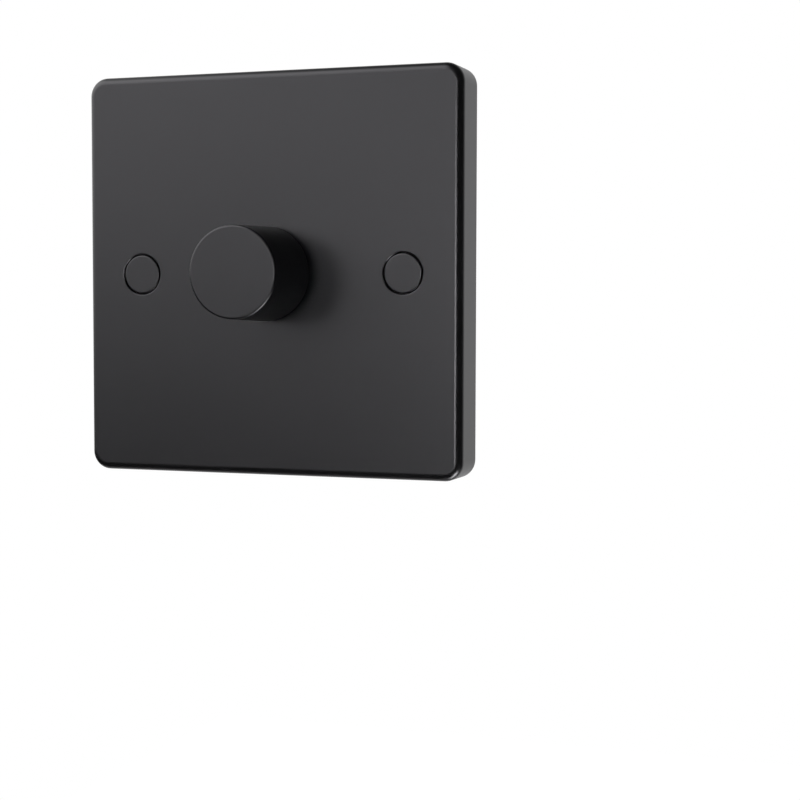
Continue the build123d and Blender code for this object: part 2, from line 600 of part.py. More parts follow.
def module_cover():
    """Flat cover let into the back of the case, with posts that carry the board."""
    gap = 2 * (COVER_SEAT - COVER_GAP)
    cover = rounded_slab(INNER_WIDTH + gap, INNER_LENGTH + gap,
                         CASE_CORNER - CASE_WALL + COVER_SEAT - COVER_GAP, COVER_INNER_Y, CASE_BACK_Y)
    cover = chamfer(edges_at(cover, CASE_BACK_Y), COVER_EDGE_CHAMFER)
    for x in (-1, 1):
        for z in (-1, 1):
            cover += rod(POST_RADIUS, BOARD_BACK_Y, COVER_INNER_Y,
                         x * (BOARD_WIDTH / 2 - POST_RADIUS), z * (BOARD_LENGTH / 2 - POST_RADIUS))
    half = PRY_SLOT_WIDTH / 2
    for z in (-1, 1):
        end = sorted((z * INNER_LENGTH / 2, z * CASE_LENGTH / 2))
        cover -= block((-half, half), (CASE_BACK_Y - PRY_SLOT_DEPTH, CASE_BACK_Y), end)
    return cover


def lead_places():
    """Where leads pass through the board, as X, Z and the depth at which each one starts."""
    places = [(x, PIN_Z, None) for x in WAY_X]
    places += [(i * WAFER_PIN_SPACING, WAFER_PIN_Z, CONTROL_BACK_Y) for i in (-1, 0, 1)]
    places += [(i * SWITCH_PIN_PLACE[0], SWITCH_PIN_PLACE[1], BOARD_FRONT_Y) for i in (-1, 1)]
    pairs = ((FUSE_PLACE, FUSE_LEAD_OFFSET), (FILM_PLACE, FILM_LEAD_OFFSET),
             (SMOOTHING_PLACE, SMOOTHING_LEAD_OFFSET), (CHOKE_PLACE, CHOKE_LEAD_OFFSET))
    for (x, z), offset in pairs:
        places += [(x + i * offset, z, BOARD_FRONT_Y - COMPONENT_LIFT) for i in (-1, 1)]
    bottom = BOARD_FRONT_Y - TRANSISTOR_LIFT
    middle = TRANSISTOR_BACK_Z - TRANSISTOR_THICKNESS / 2
    for x in TRANSISTOR_X:
        places += [(x + i * TRANSISTOR_LEAD_PITCH, middle, bottom) for i in (-1, 0, 1)]
    trimmer_x = TRIMMER_BACK_X + TRIMMER_LEAD_INSET
    places += [(trimmer_x, TRIMMER_Z + i * TRIMMER_LEAD_OFFSET, BOARD_FRONT_Y) for i in (-1, 1)]
    return places


def circuit_board():
    """Glass epoxy board with a hole for every lead."""
    board = block((-BOARD_WIDTH / 2, BOARD_WIDTH / 2), (BOARD_FRONT_Y, BOARD_BACK_Y),
                  (-BOARD_LENGTH / 2, BOARD_LENGTH / 2))
    for x, z, start in lead_places():
        board -= square_pin(LEAD_HOLE_GAP, BOARD_FRONT_Y, BOARD_BACK_Y, x, z)
    return board


def component_leads():
    """Tinned leads of the parts on the board, cut off behind it."""
    return [square_pin(0, start, BOARD_BACK_Y + LEAD_END, x, z)
            for x, z, start in lead_places() if start is not None]


# Rotary control, shaft and push switch


def control_body():
    """Moulded housing of the rotary control, in one piece with its threaded bush."""
    half = CONTROL_SIZE / 2
    body = block((-half, half), (CASE_INNER_Y, CONTROL_BACK_Y), (-half, half))
    body = chamfer(body.edges().filter_by(Axis.Y), CONTROL_CHAMFER)
    bush = bush_shape(0, BUSH_TOP_Y, CASE_INNER_Y)
    body += chamfer(edges_at(bush, BUSH_TOP_Y), BUSH_CHAMFER)
    body -= rod(SHAFT_RADIUS + TURN_GAP, BUSH_TOP_Y, CAVITY_FRONT_Y)
    body -= turned([(0, BUSH_TOP_Y), (BUSH_MOUTH_RADIUS, BUSH_TOP_Y),
                    (SHAFT_RADIUS, BUSH_TOP_Y + BUSH_MOUTH_DEPTH), (0, BUSH_TOP_Y + BUSH_MOUTH_DEPTH)])
    body -= rod(CONTROL_CAVITY_RADIUS, CAVITY_FRONT_Y, CONTROL_BACK_Y)
    post_in = ROTOR_RADIUS + TURN_GAP * 3
    post = sector(post_in, CONTROL_CAVITY_RADIUS + 0.2, 90, STOP_POST_HALF_ANGLE,
                  ROTOR_FRONT_Y - TURN_GAP, CONTROL_BACK_Y)
    return body + post


def rotor():
    """Disc that the shaft's key turns, with a lug that meets the stop post at each end."""
    start = 90 + STOP_POST_HALF_ANGLE + STOP_LUG_HALF_ANGLE + STOP_MARGIN
    disc = rod(ROTOR_RADIUS, ROTOR_FRONT_Y, ROTOR_BACK_Y)
    disc += sector(ROTOR_RADIUS - 1, CONTROL_CAVITY_RADIUS - 2 * TURN_GAP, start, STOP_LUG_HALF_ANGLE,
                   ROTOR_FRONT_Y, ROTOR_BACK_Y)
    return disc - key_shape(TURN_GAP, ROTOR_FRONT_Y, ROTOR_BACK_Y)


def wiper():
    """Spring contact under the rotor, with two feet that run on the resistance track."""
    y = (ROTOR_BACK_Y, ROTOR_BACK_Y + WIPER_THICKNESS)
    inner = WIPER_FOOT_PLACE - WIPER_WIDTH / 2
    outer = WIPER_FOOT_PLACE + WIPER_WIDTH / 2
    strip = rod(outer, *y) - rod(inner, *y)
    strip -= block((-outer, outer), y, (-outer, 0))
    for side in (-1, 1):
        strip += rod(WIPER_FOOT_RADIUS, y[0], CONTROL_BACK_Y - WIPER_FOOT_GAP,
                     side * WIPER_FOOT_PLACE, WIPER_FOOT_RADIUS)
    return strip


def track_wafer():
    """Phenolic wafer that closes the control and carries the resistance track."""
    half = CONTROL_SIZE / 2
    wafer = block((-half, half), (CONTROL_BACK_Y, WAFER_BACK_Y), (-half, half + WAFER_TAIL))
    wafer -= rod(KEY_RADIUS + 4 * TURN_GAP, CONTROL_BACK_Y, WAFER_BACK_Y)
    for i in (-1, 0, 1):
        wafer -= square_pin(TURN_GAP, CONTROL_BACK_Y, WAFER_BACK_Y, i * WAFER_PIN_SPACING, WAFER_PIN_Z)
    return wafer


def shaft():
    """Flatted shaft with a collar that stops it pulling out and a key that turns the rotor."""
    bar = rod(SHAFT_RADIUS, SHAFT_TOP_Y, CAVITY_FRONT_Y)
    bar = chamfer(edges_at(bar, SHAFT_TOP_Y), SHAFT_CHAMFER)
    flat = SHAFT_ACROSS_FLAT - SHAFT_RADIUS
    bar -= block((-SHAFT_RADIUS, SHAFT_RADIUS), (SHAFT_TOP_Y, SHAFT_TOP_Y + SHAFT_FLAT_LENGTH),
                 (flat, SHAFT_RADIUS + 1))
    collar_end = CAVITY_FRONT_Y + COLLAR_THICKNESS
    collar = rod(COLLAR_RADIUS, CAVITY_FRONT_Y, collar_end)
    key = key_shape(0, collar_end, SHAFT_TAIL_Y)
    return bar + collar + key


def switch_base():
    """Housing of the push switch, which stands on the board and holds the plunger and spring."""
    half = SWITCH_SIZE / 2
    base = block((-half, half), (WAFER_BACK_Y, BOARD_FRONT_Y), (-half, half))
    base = chamfer(base.edges().filter_by(Axis.Y), CONTROL_CHAMFER)
    well = PLUNGER_SIZE / 2 + PLUNGER_GAP
    return base - block((-well, well), (WAFER_BACK_Y, SWITCH_FLOOR_Y), (-well, well))


def switch_plunger():
    """Square plunger that the shaft presses, with a spigot inside its spring."""
    half = PLUNGER_SIZE / 2
    plunger = block((-half, half), (SHAFT_TAIL_Y, PLUNGER_BACK_Y), (-half, half))
    return plunger + rod(PLUNGER_SPIGOT_RADIUS, PLUNGER_BACK_Y, PLUNGER_BACK_Y + PLUNGER_SPIGOT)


def push_spring():
    """Coil spring that returns the knob after each push."""
    start = PLUNGER_BACK_Y + SPRING_WIRE + SPRING_END_GAP
    length = SWITCH_FLOOR_Y - SPRING_WIRE - SPRING_END_GAP - start
    path = Helix(pitch=length / SPRING_TURNS, height=length, radius=SPRING_RADIUS)
    section = Plane(origin=path @ 0, z_dir=path % 0) * RegularPolygon(SPRING_WIRE, 4)
    coil = sweep(section, path=path, is_frenet=True)
    return Pos(0, start, 0) * Rot(-90, 0, 0) * coil


# Nut, washer and knob


def bush_washer():
    """Plain washer between the nut and the plate."""
    return rod(WASHER_RADIUS, NUT_BACK_Y, FRONT_Y) - rod(BUSH_RADIUS + NUT_HOLE_GAP, NUT_BACK_Y, FRONT_Y)


def bush_nut():
    """Thin hexagon nut on the bush, chamfered at its corners."""
    plane = Plane((0, NUT_BACK_Y, 0), x_dir=(1, 0, 0), z_dir=(0, -1, 0))
    corner = NUT_ACROSS_FLATS / math.sqrt(3)
    nut = extrude(plane * RegularPolygon(corner, 6), NUT_THICKNESS)
    cone = turned([(0, NUT_BACK_Y), (corner + 1, NUT_BACK_Y), (corner + 1, NUT_FRONT_Y + NUT_CHAMFER + 1),
                   (corner - NUT_CHAMFER, NUT_FRONT_Y), (0, NUT_FRONT_Y)])
    return (nut & cone) - rod(BUSH_RADIUS + NUT_HOLE_GAP, NUT_FRONT_Y, NUT_BACK_Y)


def knob():
    """Hollow tapered knob with a hub for the flatted shaft and ribs from hub to wall."""
    rim = soft_rim(KNOB_FRONT_RADIUS, KNOB_FRONT_Y, KNOB_EDGE, 1)
    outer = turned([(0, KNOB_FRONT_Y)] + rim + [(KNOB_BASE_RADIUS, KNOB_BASE_Y), (0, KNOB_BASE_Y)])
    cavity = rod(KNOB_BASE_RADIUS - KNOB_WALL, KNOB_CAVITY_Y, KNOB_BASE_Y)
    inside = rod(KNOB_HUB_RADIUS, KNOB_CAVITY_Y, HUB_END_Y)
    rib_end = NUT_FRONT_Y - KNOB_RIB_CLEARANCE
    for i in range(KNOB_RIB_COUNT):
        turn = Rot(0, 45 + 360 * i / KNOB_RIB_COUNT, 0)
        inside += turn * block((0, KNOB_BASE_RADIUS), (KNOB_CAVITY_Y, rib_end), (-KNOB_RIB / 2, KNOB_RIB / 2))
    body = outer - (cavity - inside)
    bore_end = SHAFT_TOP_Y - KNOB_BORE_GAP
    radius = SHAFT_RADIUS + KNOB_BORE_GAP
    flat = SHAFT_ACROSS_FLAT - SHAFT_RADIUS + CLIP_GAP
    round_from = SHAFT_TOP_Y + SHAFT_FLAT_LENGTH - KNOB_BORE_GAP
    bore = rod(radius, bore_end, HUB_END_Y) - block((-radius, radius), (bore_end, round_from), (flat, radius + 1))
    return body - bore


def knob_clip():
    """Bowed leaf spring between the flat of the shaft and the flat of the hub."""
    low = SHAFT_ACROSS_FLAT - SHAFT_RADIUS + CLIP_MARGIN
    high = low + CLIP_GAP - 2 * CLIP_MARGIN
    start = SHAFT_TOP_Y + SHAFT_CHAMFER
    end = start + CLIP_LENGTH
    middle = (start + end) / 2
    thick = CLIP_THICKNESS
    under = ThreePointArc((start, low), (middle, high - thick), (end, low))
    over = ThreePointArc((end, low + thick), (middle, high), (start, low + thick))
    outline = Curve() + [under, Line((end, low), (end, low + thick)), over,
                         Line((start, low + thick), (start, low))]
    plane = Plane((-CLIP_WIDTH / 2, 0, 0), x_dir=(0, 1, 0), z_dir=(1, 0, 0))
    return extrude(plane * make_face(outline), CLIP_WIDTH)


# Terminal block


def terminal_housing():
    """Moulded terminal block: a chamber, a screw well and a funnel for each wire."""
    left = TERMINAL_CENTRE_X - TERMINAL_WIDTH / 2
    body = block((left, left + TERMINAL_WIDTH), (TERMINAL_TOP_Y, BOARD_FRONT_Y), (WIRE_FACE_Z, TERMINAL_BACK_Z))
    half = CAGE_WIDTH / 2 + CAGE_GAP
    leg = TONGUE_WIDTH / 2 + CAGE_GAP
    chamber_back = CAGE_BACK_Z + CAGE_GAP
    chamber_front = CAGE_FRONT_Z - CAGE_GAP
    chamber_y = (CHAMBER_TOP_Y, CAGE_BOTTOM_Y + CAGE_GAP)
    mouth_y = (MOUTH_TOP_Y, MOUTH_BOTTOM_Y)
    hole_y = MOUTH_BOTTOM_Y - WIRE_HOLE_SIZE / 2
    for x in WAY_X:
        body -= rod(CLAMP_SCREW_HEAD_RADIUS + CAGE_GAP, TERMINAL_TOP_Y, LEDGE_Y, x, CLAMP_Z)
        body -= rod(CLAMP_SCREW_RADIUS + THREAD_GAP, LEDGE_Y, CHAMBER_TOP_Y, x, CLAMP_Z)
        body -= block((x - half, x + half), chamber_y, (chamber_front, chamber_back))
        body -= block((x - leg, x + leg), (TONGUE_Y - CAGE_GAP, BOARD_FRONT_Y),
                      (chamber_back, chamber_back + TONGUE_LEG + CAGE_GAP))
        mouth_x = (x - MOUTH_WIDTH / 2, x + MOUTH_WIDTH / 2)
        body -= block(mouth_x, mouth_y, (WIRE_FACE_Z, WIRE_FACE_Z + MOUTH_DEPTH))
        wide = Plane((x, sum(mouth_y) / 2, WIRE_FACE_Z + MOUTH_DEPTH)) * Rectangle(MOUTH_WIDTH, MOUTH_HEIGHT)
        narrow = Plane((x, hole_y, chamber_front)) * Rectangle(WIRE_HOLE_SIZE, WIRE_HOLE_SIZE)
        body -= loft([wide.face(), narrow.face()], ruled=True)
    return body


def clamp_screw(x):
    """Captive slotted screw of one way: it turns in place and raises the cage."""
    head = rod(CLAMP_SCREW_HEAD_RADIUS, CLAMP_HEAD_Y, LEDGE_Y - THREAD_GAP, x, CLAMP_Z)
    head = chamfer(edges_at(head, CLAMP_HEAD_Y), 0.2)
    shank = rod(CLAMP_SCREW_RADIUS, LEDGE_Y - THREAD_GAP, TONGUE_Y - 2 * THREAD_GAP, x, CLAMP_Z)
    half = CLAMP_SLOT_WIDTH / 2
    reach = CLAMP_SCREW_HEAD_RADIUS + 1
    slot = block((x - reach, x + reach), (CLAMP_HEAD_Y - 1, CLAMP_HEAD_Y + CLAMP_SLOT_DEPTH),
                 (CLAMP_Z - half, CLAMP_Z + half))
    return head + shank - slot


def wire_cage(x):
    """Rising cage of one way, open along the wire, with the screw's thread in its top."""
    half = CAGE_WIDTH / 2
    cage = block((x - half, x + half), (CAGE_TOP_Y, CAGE_BOTTOM_Y), (CAGE_FRONT_Z, CAGE_BACK_Z))
    cage -= block((x - half + CAGE_SIDE, x + half - CAGE_SIDE),
                  (CAGE_TOP_Y + CAGE_TOP, CAGE_BOTTOM_Y - CAGE_FLOOR), (CAGE_FRONT_Z, CAGE_BACK_Z))
    return cage - rod(CLAMP_SCREW_RADIUS + THREAD_GAP, CAGE_TOP_Y, CAGE_TOP_Y + CAGE_TOP, x, CLAMP_Z)


def terminal_contact(x):
    """Bent contact strip of one way: a tongue through the cage, a leg and a solder pin."""
    half = TONGUE_WIDTH / 2
    leg = (CAGE_BACK_Z + CAGE_GAP, CAGE_BACK_Z + CAGE_GAP + TONGUE_LEG)
    tongue = block((x - half, x + half), (TONGUE_Y, TONGUE_Y + TONGUE_THICKNESS), (CAGE_FRONT_Z, leg[1]))
    strip = block((x - half, x + half), (TONGUE_Y, BOARD_FRONT_Y), leg)
    pin = square_pin(0, BOARD_FRONT_Y, BOARD_BACK_Y + LEAD_END, x, PIN_Z)
    return tongue + strip + pin


# Trimmer


def trimmer_body():
    """Housing of the brightness trimmer, whose rotor faces the hole in the side of the case."""
    half = TRIMMER_SIZE / 2
    body = block((TRIMMER_BACK_X, TRIMMER_FACE_X), (BOARD_FRONT_Y - TRIMMER_HEIGHT, BOARD_FRONT_Y),
                 (TRIMMER_Z - half, TRIMMER_Z + half))
    pocket = TRIMMER_ROTOR_RADIUS + TURN_GAP
    middle = TRIMMER_FACE_X - TRIMMER_ROTOR_DEPTH / 2
    return body - Pos(middle, TRIMMER_Y, TRIMMER_Z) * Rot(0, 90, 0) * Cylinder(pocket, TRIMMER_ROTOR_DEPTH)


def trimmer_rotor():
    """Slotted rotor of the trimmer."""
    back = TRIMMER_FACE_X - TRIMMER_ROTOR_DEPTH + TURN_GAP
    front = TRIMMER_FACE_X + TRIMMER_ROTOR_PROUD
    disc = Pos((back + front) / 2, TRIMMER_Y, TRIMMER_Z) * Rot(0, 90, 0) * Cylinder(TRIMMER_ROTOR_RADIUS, front - back)
    half = TRIMMER_SLOT_WIDTH / 2
    reach = TRIMMER_ROTOR_RADIUS + 1
    return disc - block((front - TRIMMER_SLOT_DEPTH, front + 1), (TRIMMER_Y - reach, TRIMMER_Y + reach),
                        (TRIMMER_Z - half, TRIMMER_Z + half))


# Parts on the board


def standing_can(place, radius, height):
    """A round part that stands on the board."""
    top = BOARD_FRONT_Y - COMPONENT_LIFT - height
    can = rod(radius, top, BOARD_FRONT_Y - COMPONENT_LIFT, *place)
    return chamfer(edges_at(can, top), CAN_EDGE)


def film_capacitor():
    """Box film capacitor across the supply."""
    x, z = FILM_PLACE
    bottom = BOARD_FRONT_Y - COMPONENT_LIFT
    box = block((x - FILM_WIDTH / 2, x + FILM_WIDTH / 2), (bottom - FILM_HEIGHT, bottom),
                (z - FILM_DEPTH / 2, z + FILM_DEPTH / 2))
    return chamfer(edges_at(box, bottom - FILM_HEIGHT), CAN_EDGE)


def choke_core():
    """Ferrite drum core."""
    x, z = CHOKE_PLACE
    bottom = BOARD_FRONT_Y - COMPONENT_LIFT
    top = bottom - CHOKE_HEIGHT
    return turned([(0, top), (CHOKE_RADIUS, top), (CHOKE_RADIUS, top + CHOKE_FLANGE),
                   (CHOKE_NECK_RADIUS, top + CHOKE_FLANGE), (CHOKE_NECK_RADIUS, bottom - CHOKE_FLANGE),
                   (CHOKE_RADIUS, bottom - CHOKE_FLANGE), (CHOKE_RADIUS, bottom), (0, bottom)], x, z)


def choke_winding():
    """Enamelled winding that fills the core between its flanges."""
    bottom = BOARD_FRONT_Y - COMPONENT_LIFT - CHOKE_FLANGE
    top = bottom - CHOKE_HEIGHT + 2 * CHOKE_FLANGE
    radius = CHOKE_RADIUS - CHOKE_MARGIN
    return rod(radius, top, bottom, *CHOKE_PLACE) - rod(CHOKE_NECK_RADIUS, top, bottom, *CHOKE_PLACE)


def heat_plate():
    """Aluminium plate that stands on the board and cools the two transistors."""
    half = HEAT_PLATE_THICKNESS / 2
    return block(HEAT_PLATE_X, (BOARD_FRONT_Y - HEAT_PLATE_HEIGHT, BOARD_FRONT_Y),
                 (HEAT_PLATE_Z - half, HEAT_PLATE_Z + half))


def transistor(x):
    """Power transistor fixed flat to the heat plate."""
    half = TRANSISTOR_WIDTH / 2
    face = TRANSISTOR_BACK_Z - TRANSISTOR_THICKNESS
    bottom = BOARD_FRONT_Y - TRANSISTOR_LIFT
    body = block((x - half, x + half), (bottom - TRANSISTOR_HEIGHT, bottom), (face, TRANSISTOR_BACK_Z))
    front = body.edges().filter_by_position(Axis.Z, face - 0.001, face + 0.001)
    return chamfer(front, TRANSISTOR_CHAMFER)


def controller_chip():
    """Small surface-mounted controller with a row of legs on each side."""
    x, z = CHIP_PLACE
    top = BOARD_FRONT_Y - CHIP_HEIGHT
    half = CHIP_DEPTH / 2
    chip = block((x - CHIP_WIDTH / 2, x + CHIP_WIDTH / 2), (top, BOARD_FRONT_Y - COMPONENT_LIFT),
                 (z - half, z + half))
    chip = chamfer(edges_at(chip, top), CHIP_CHAMFER)
    for side in (-1, 1):
        for i in range(4):
            leg_x = x + (i - 1.5) * CHIP_LEG_PITCH
            leg_z = sorted((z + side * half, z + side * (half + CHIP_LEG_REACH)))
            chip += block((leg_x - CHIP_LEG_WIDTH / 2, leg_x + CHIP_LEG_WIDTH / 2),
                          (BOARD_FRONT_Y - CHIP_LEG_THICKNESS, BOARD_FRONT_Y), leg_z)
    return chip


def build_parts():
    """Every piece by its name."""
    parts = {
        "front_plate": front_plate(),
        "plate_liner": plate_liner(),
        "screw_cap_left": screw_cap(FIXING_X[0]),
        "screw_cap_right": screw_cap(FIXING_X[1]),
        "fixing_screw_left": fixing_screw(FIXING_X[0]),
        "fixing_screw_right": fixing_screw(FIXING_X[1]),
        "earth_tab": earth_tab(),
        "earth_saddle": earth_saddle(),
        "earth_screw": earth_screw(),
        "module_case": module_case(),
        "module_cover": module_cover(),
        "circuit_board": circuit_board(),
        "component_leads": component_leads(),
        "control_body": control_body(),
        "rotor": rotor(),
        "wiper": wiper(),
        "track_wafer": track_wafer(),
        "shaft": shaft(),
        "switch_base": switch_base(),
        "switch_plunger": switch_plunger(),
        "push_spring": push_spring(),
        "bush_washer": bush_washer(),
        "bush_nut": bush_nut(),
        "knob": knob(),
        "knob_clip": knob_clip(),
        "terminal_housing": terminal_housing(),
        "trimmer_body": trimmer_body(),
        "trimmer_rotor": trimmer_rotor(),
        "fuse": standing_can(FUSE_PLACE, FUSE_RADIUS, FUSE_HEIGHT),
        "film_capacitor": film_capacitor(),
        "smoothing_capacitor": standing_can(SMOOTHING_PLACE, SMOOTHING_RADIUS, SMOOTHING_HEIGHT),
        "choke_core": choke_core(),
        "choke_winding": choke_winding(),
        "heat_plate": heat_plate(),
        "controller_chip": controller_chip(),
    }
    for i, x in enumerate(WAY_X, 1):
        parts[f"clamp_screw_{i}"] = clamp_screw(x)
        parts[f"wire_cage_{i}"] = wire_cage(x)
        parts[f"terminal_contact_{i}"] = terminal_contact(x)
    for i, x in enumerate(TRANSISTOR_X, 1):
        parts[f"transistor_{i}"] = transistor(x)
    return parts


def main():
    os.makedirs("parts", exist_ok=True)
    for name, shape in build_parts().items():
        solids = shape if isinstance(shape, list) else shape.solids()
        body = solids[0] if len(solids) == 1 else Compound(children=list(solids))
        export_step(body, f"parts/{name}.step")


if __name__ == "__main__":
    main()
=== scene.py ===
import json
import math

import bmesh
import bpy
from mathutils import Matrix, Vector

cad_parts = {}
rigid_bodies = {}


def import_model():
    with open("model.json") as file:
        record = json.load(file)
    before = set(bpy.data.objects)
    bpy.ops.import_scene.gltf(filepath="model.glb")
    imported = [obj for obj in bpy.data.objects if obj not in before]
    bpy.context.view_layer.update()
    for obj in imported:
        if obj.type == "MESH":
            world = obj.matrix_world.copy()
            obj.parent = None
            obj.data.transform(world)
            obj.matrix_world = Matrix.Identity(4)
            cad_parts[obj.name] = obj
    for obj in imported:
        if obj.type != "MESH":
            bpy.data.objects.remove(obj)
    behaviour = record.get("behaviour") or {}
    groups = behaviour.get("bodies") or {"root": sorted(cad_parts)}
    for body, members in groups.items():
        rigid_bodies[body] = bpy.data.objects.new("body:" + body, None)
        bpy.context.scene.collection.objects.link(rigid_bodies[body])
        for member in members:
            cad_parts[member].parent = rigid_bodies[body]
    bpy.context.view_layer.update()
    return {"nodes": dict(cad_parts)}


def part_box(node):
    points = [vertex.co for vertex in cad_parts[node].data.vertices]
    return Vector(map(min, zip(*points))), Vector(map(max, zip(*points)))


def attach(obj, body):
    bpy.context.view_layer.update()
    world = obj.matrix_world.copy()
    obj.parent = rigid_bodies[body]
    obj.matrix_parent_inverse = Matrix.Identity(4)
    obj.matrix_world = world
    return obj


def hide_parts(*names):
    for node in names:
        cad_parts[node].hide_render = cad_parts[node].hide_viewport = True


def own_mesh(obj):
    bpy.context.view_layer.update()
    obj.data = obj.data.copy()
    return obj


# Finishes for a rotary wall dimmer, the smooth rims of its knob and caps, the threads of its fixing
# screws and bush, its push spring, and a small studio.
# Everything is in metres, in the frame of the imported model: +X right, +Y into the wall, +Z up.

bl_info = {
    "name": "Rotary wall dimmer",
    "version": (1, 0, 0),
    "blender": (4, 5, 0),
    "location": "View3D > Sidebar > Dimmer",
    "description": "Finishes a rotary wall dimmer and sets it in a small studio",
    "category": "Object",
}

for leftover in list(bpy.data.objects):
    bpy.data.objects.remove(leftover)
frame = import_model()
MM = 0.001
# Vertices nearer than this are one vertex
MERGE = 0.0005 * MM
# Half widths of a thread at its foot and at its crest, as shares of the pitch
FOOT_SHARE = 0.45
CREST_SHARE = 0.06
# How deep a thread's foot is sunk in the core, and how far a cutter stands outside what it cuts
FOOT_DEPTH = 0.03 * MM
CUTTER_MARGIN = 0.2 * MM
# Faces that meet at more than this keep a sharp edge
SHARP_ANGLE = math.radians(35)
# How near to the edge behind a rim a vertex lies to count as on it
RIM_REACH = 0.002 * MM
# Steps round a screw's core, one turn of its thread and one turn of the bush's thread
CORE_STEPS = 40
SCREW_STEPS = 20
BUSH_STEPS = 36
# The floor's colour in a shadow, and the strength and share of the glow that turns it white to the camera
FLOOR_PAINT = "d9d9d9"
FLOOR_GLOW = 1.06
FLOOR_GLOW_SHARE = 0.9
# The backdrop in reflections starts and is full where a direction points this far back, as a share
BACKDROP_START = 0.35
BACKDROP_FULL = 0.75
# The studio's soft panels. For each, the angles in degrees where it starts, is full, begins to fade and
# ends: first round to the right from straight in front, then upwards from the level.
PANELS = {
    "wide": ((-156, -80, -18, -12), (-4, 3, 46, 74)),
    "high": ((-100, -60, -16, -8), (8, 26, 46, 74)),
    "core": ((-9, -6.5, 0, 3), (-6, -4, 3, 5)),
    "low": ((38, 58, 85, 105), (-88, -80, -54, -42)),
}


def linear(hex_colour):
    """Turns an sRGB hex colour into the linear values that Blender works in."""
    channels = [int(hex_colour[i:i + 2], 16) / 255 for i in (0, 2, 4)]
    return tuple(c / 12.92 if c <= 0.04045 else ((c + 0.055) / 1.055) ** 2.4 for c in channels)


def nodes_by_slot():
    """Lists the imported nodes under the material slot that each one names."""
    found = {}
    for part in frame["nodes"].values():
        found.setdefault(part.data.materials[0].name.split(".")[0], []).append(part)
    return found


SLOT_NODES = nodes_by_slot()


# Sizes and colours


def colour(name, description, hex_colour):
    """A colour that the user can change."""
    return bpy.props.FloatVectorProperty(name=name, description=description, subtype="COLOR", size=3,
                                         min=0, max=1, default=linear(hex_colour))


def length(name, description, millimetres):
    """A length that the user can change."""
    return bpy.props.FloatProperty(name=name, description=description, subtype="DISTANCE", unit="LENGTH",
                                   min=0.00001, default=millimetres * MM)


def angle(name, description, degrees):
    """An angle that the user can change."""
    return bpy.props.FloatProperty(name=name, description=description, subtype="ANGLE", unit="ROTATION",
                                   default=math.radians(degrees))


def share(name, description, value, most=1.0):
    """A plain number between nothing and its most that the user can change."""
    return bpy.props.FloatProperty(name=name, description=description, subtype="FACTOR",
                                   min=0, max=most, default=value)


class PlateLook(bpy.types.PropertyGroup):
    paint: colour("Plate paint", "Colour under the gloss of the powder coat", "0a0a0b")
    cap_paint: colour("Cap paint", "Colour under the gloss of the screw caps", "0a0a0b")
    knob_paint: colour("Knob paint", "Colour under the gloss of the knob", "0a0a0b")
    sheen: colour("Sheen", "Faint cool tint of the paint's gloss", "fbf9ff")
    paint_roughness: share("Paint roughness", "How matt the black paint is", 0.30)
    peel: length("Orange peel", "Distance between the ripples of the powder coat", 0.9)
    liner: colour("Liner", "Colour of the insulating liner", "1b1b1c")


class ModuleLook(bpy.types.PropertyGroup):
    case: colour("Case", "Colour of the white case and its cover", "efedea")
    bush: colour("Bush", "Colour of the blue control and its bush", "1f4a9a")
    shaft: colour("Shaft", "Colour of the shaft", "141415")
    terminal: colour("Terminal block", "Colour of the green terminal block", "2f9a44")
    trimmer: colour("Trimmer", "Colour of the trimmer", "1c3a78")
    mask: colour("Board", "Colour of the lacquer on the circuit board", "1a5c36")
    grain: length("Mould grain", "Distance between the pits that the mould leaves", 0.35)


class MetalLook(bpy.types.PropertyGroup):
    zinc: colour("Zinc plate", "Colour of the plated screws and nut", "c3c7cc")
    brass: colour("Brass", "Colour of the earth terminal", "c9a45c")
    cage: colour("Cage", "Colour of the plated wire cages", "cfc4a2")
    copper: colour("Copper", "Colour of the enamelled winding wire", "a2552c")
    aluminium: colour("Aluminium", "Colour of the heat plate", "c9cbcd")
    brush: length("Brush marks", "Distance between the marks along the rolled and brushed metals", 0.18)


class RimSizes(bpy.types.PropertyGroup):
    knob_rim: length("Knob rim", "Size of the round at the knob's front", 0.4)
    cap_rim: length("Cap rim", "Size of the round at a cap's front", 0.3)
    margin: length("Margin", "Width of the ring where a round runs into the flat front", 0.08)


class ThreadSizes(bpy.types.PropertyGroup):
    screw_pitch: length("Screw pitch", "Pitch of the fixing screws", 0.6)
    screw_core: length("Screw core", "Radius at the root of the fixing screws' thread", 1.42)
    screw_crest: length("Screw crest", "Radius at the crest of the fixing screws' thread", 1.75)
    screw_shank: length("Screw shank", "How far behind the head's face the thread begins", 2.92)
    thread_end: length("Thread end", "How far before the tip the thread ends", 0.7)
    tip_chamfer: length("Tip chamfer", "Size of the chamfer at a fixing screw's tip", 0.5)
    slot_width: length("Slot width", "Width of the slot in a fixing screw", 0.9)
    slot_depth: length("Slot depth", "Depth of the slot in a fixing screw", 0.8)
    bush_pitch: length("Bush pitch", "Pitch of the thread on the control's bush", 0.75)
    bush_radius: length("Bush radius", "Radius at the crest of the bush's thread", 5.0)
    bush_depth: length("Bush thread depth", "Depth of the thread on the control's bush", 0.4)
    bush_length: length("Bush thread length", "How far the thread runs down from the bush's mouth", 4.9)


class SpringSizes(bpy.types.PropertyGroup):
    travel: length("Travel", "How far a full push shortens the spring", 1.2)
    seat_gap: length("Seat gap", "Gap at each end, between the coil and what it seats on", 0.05)


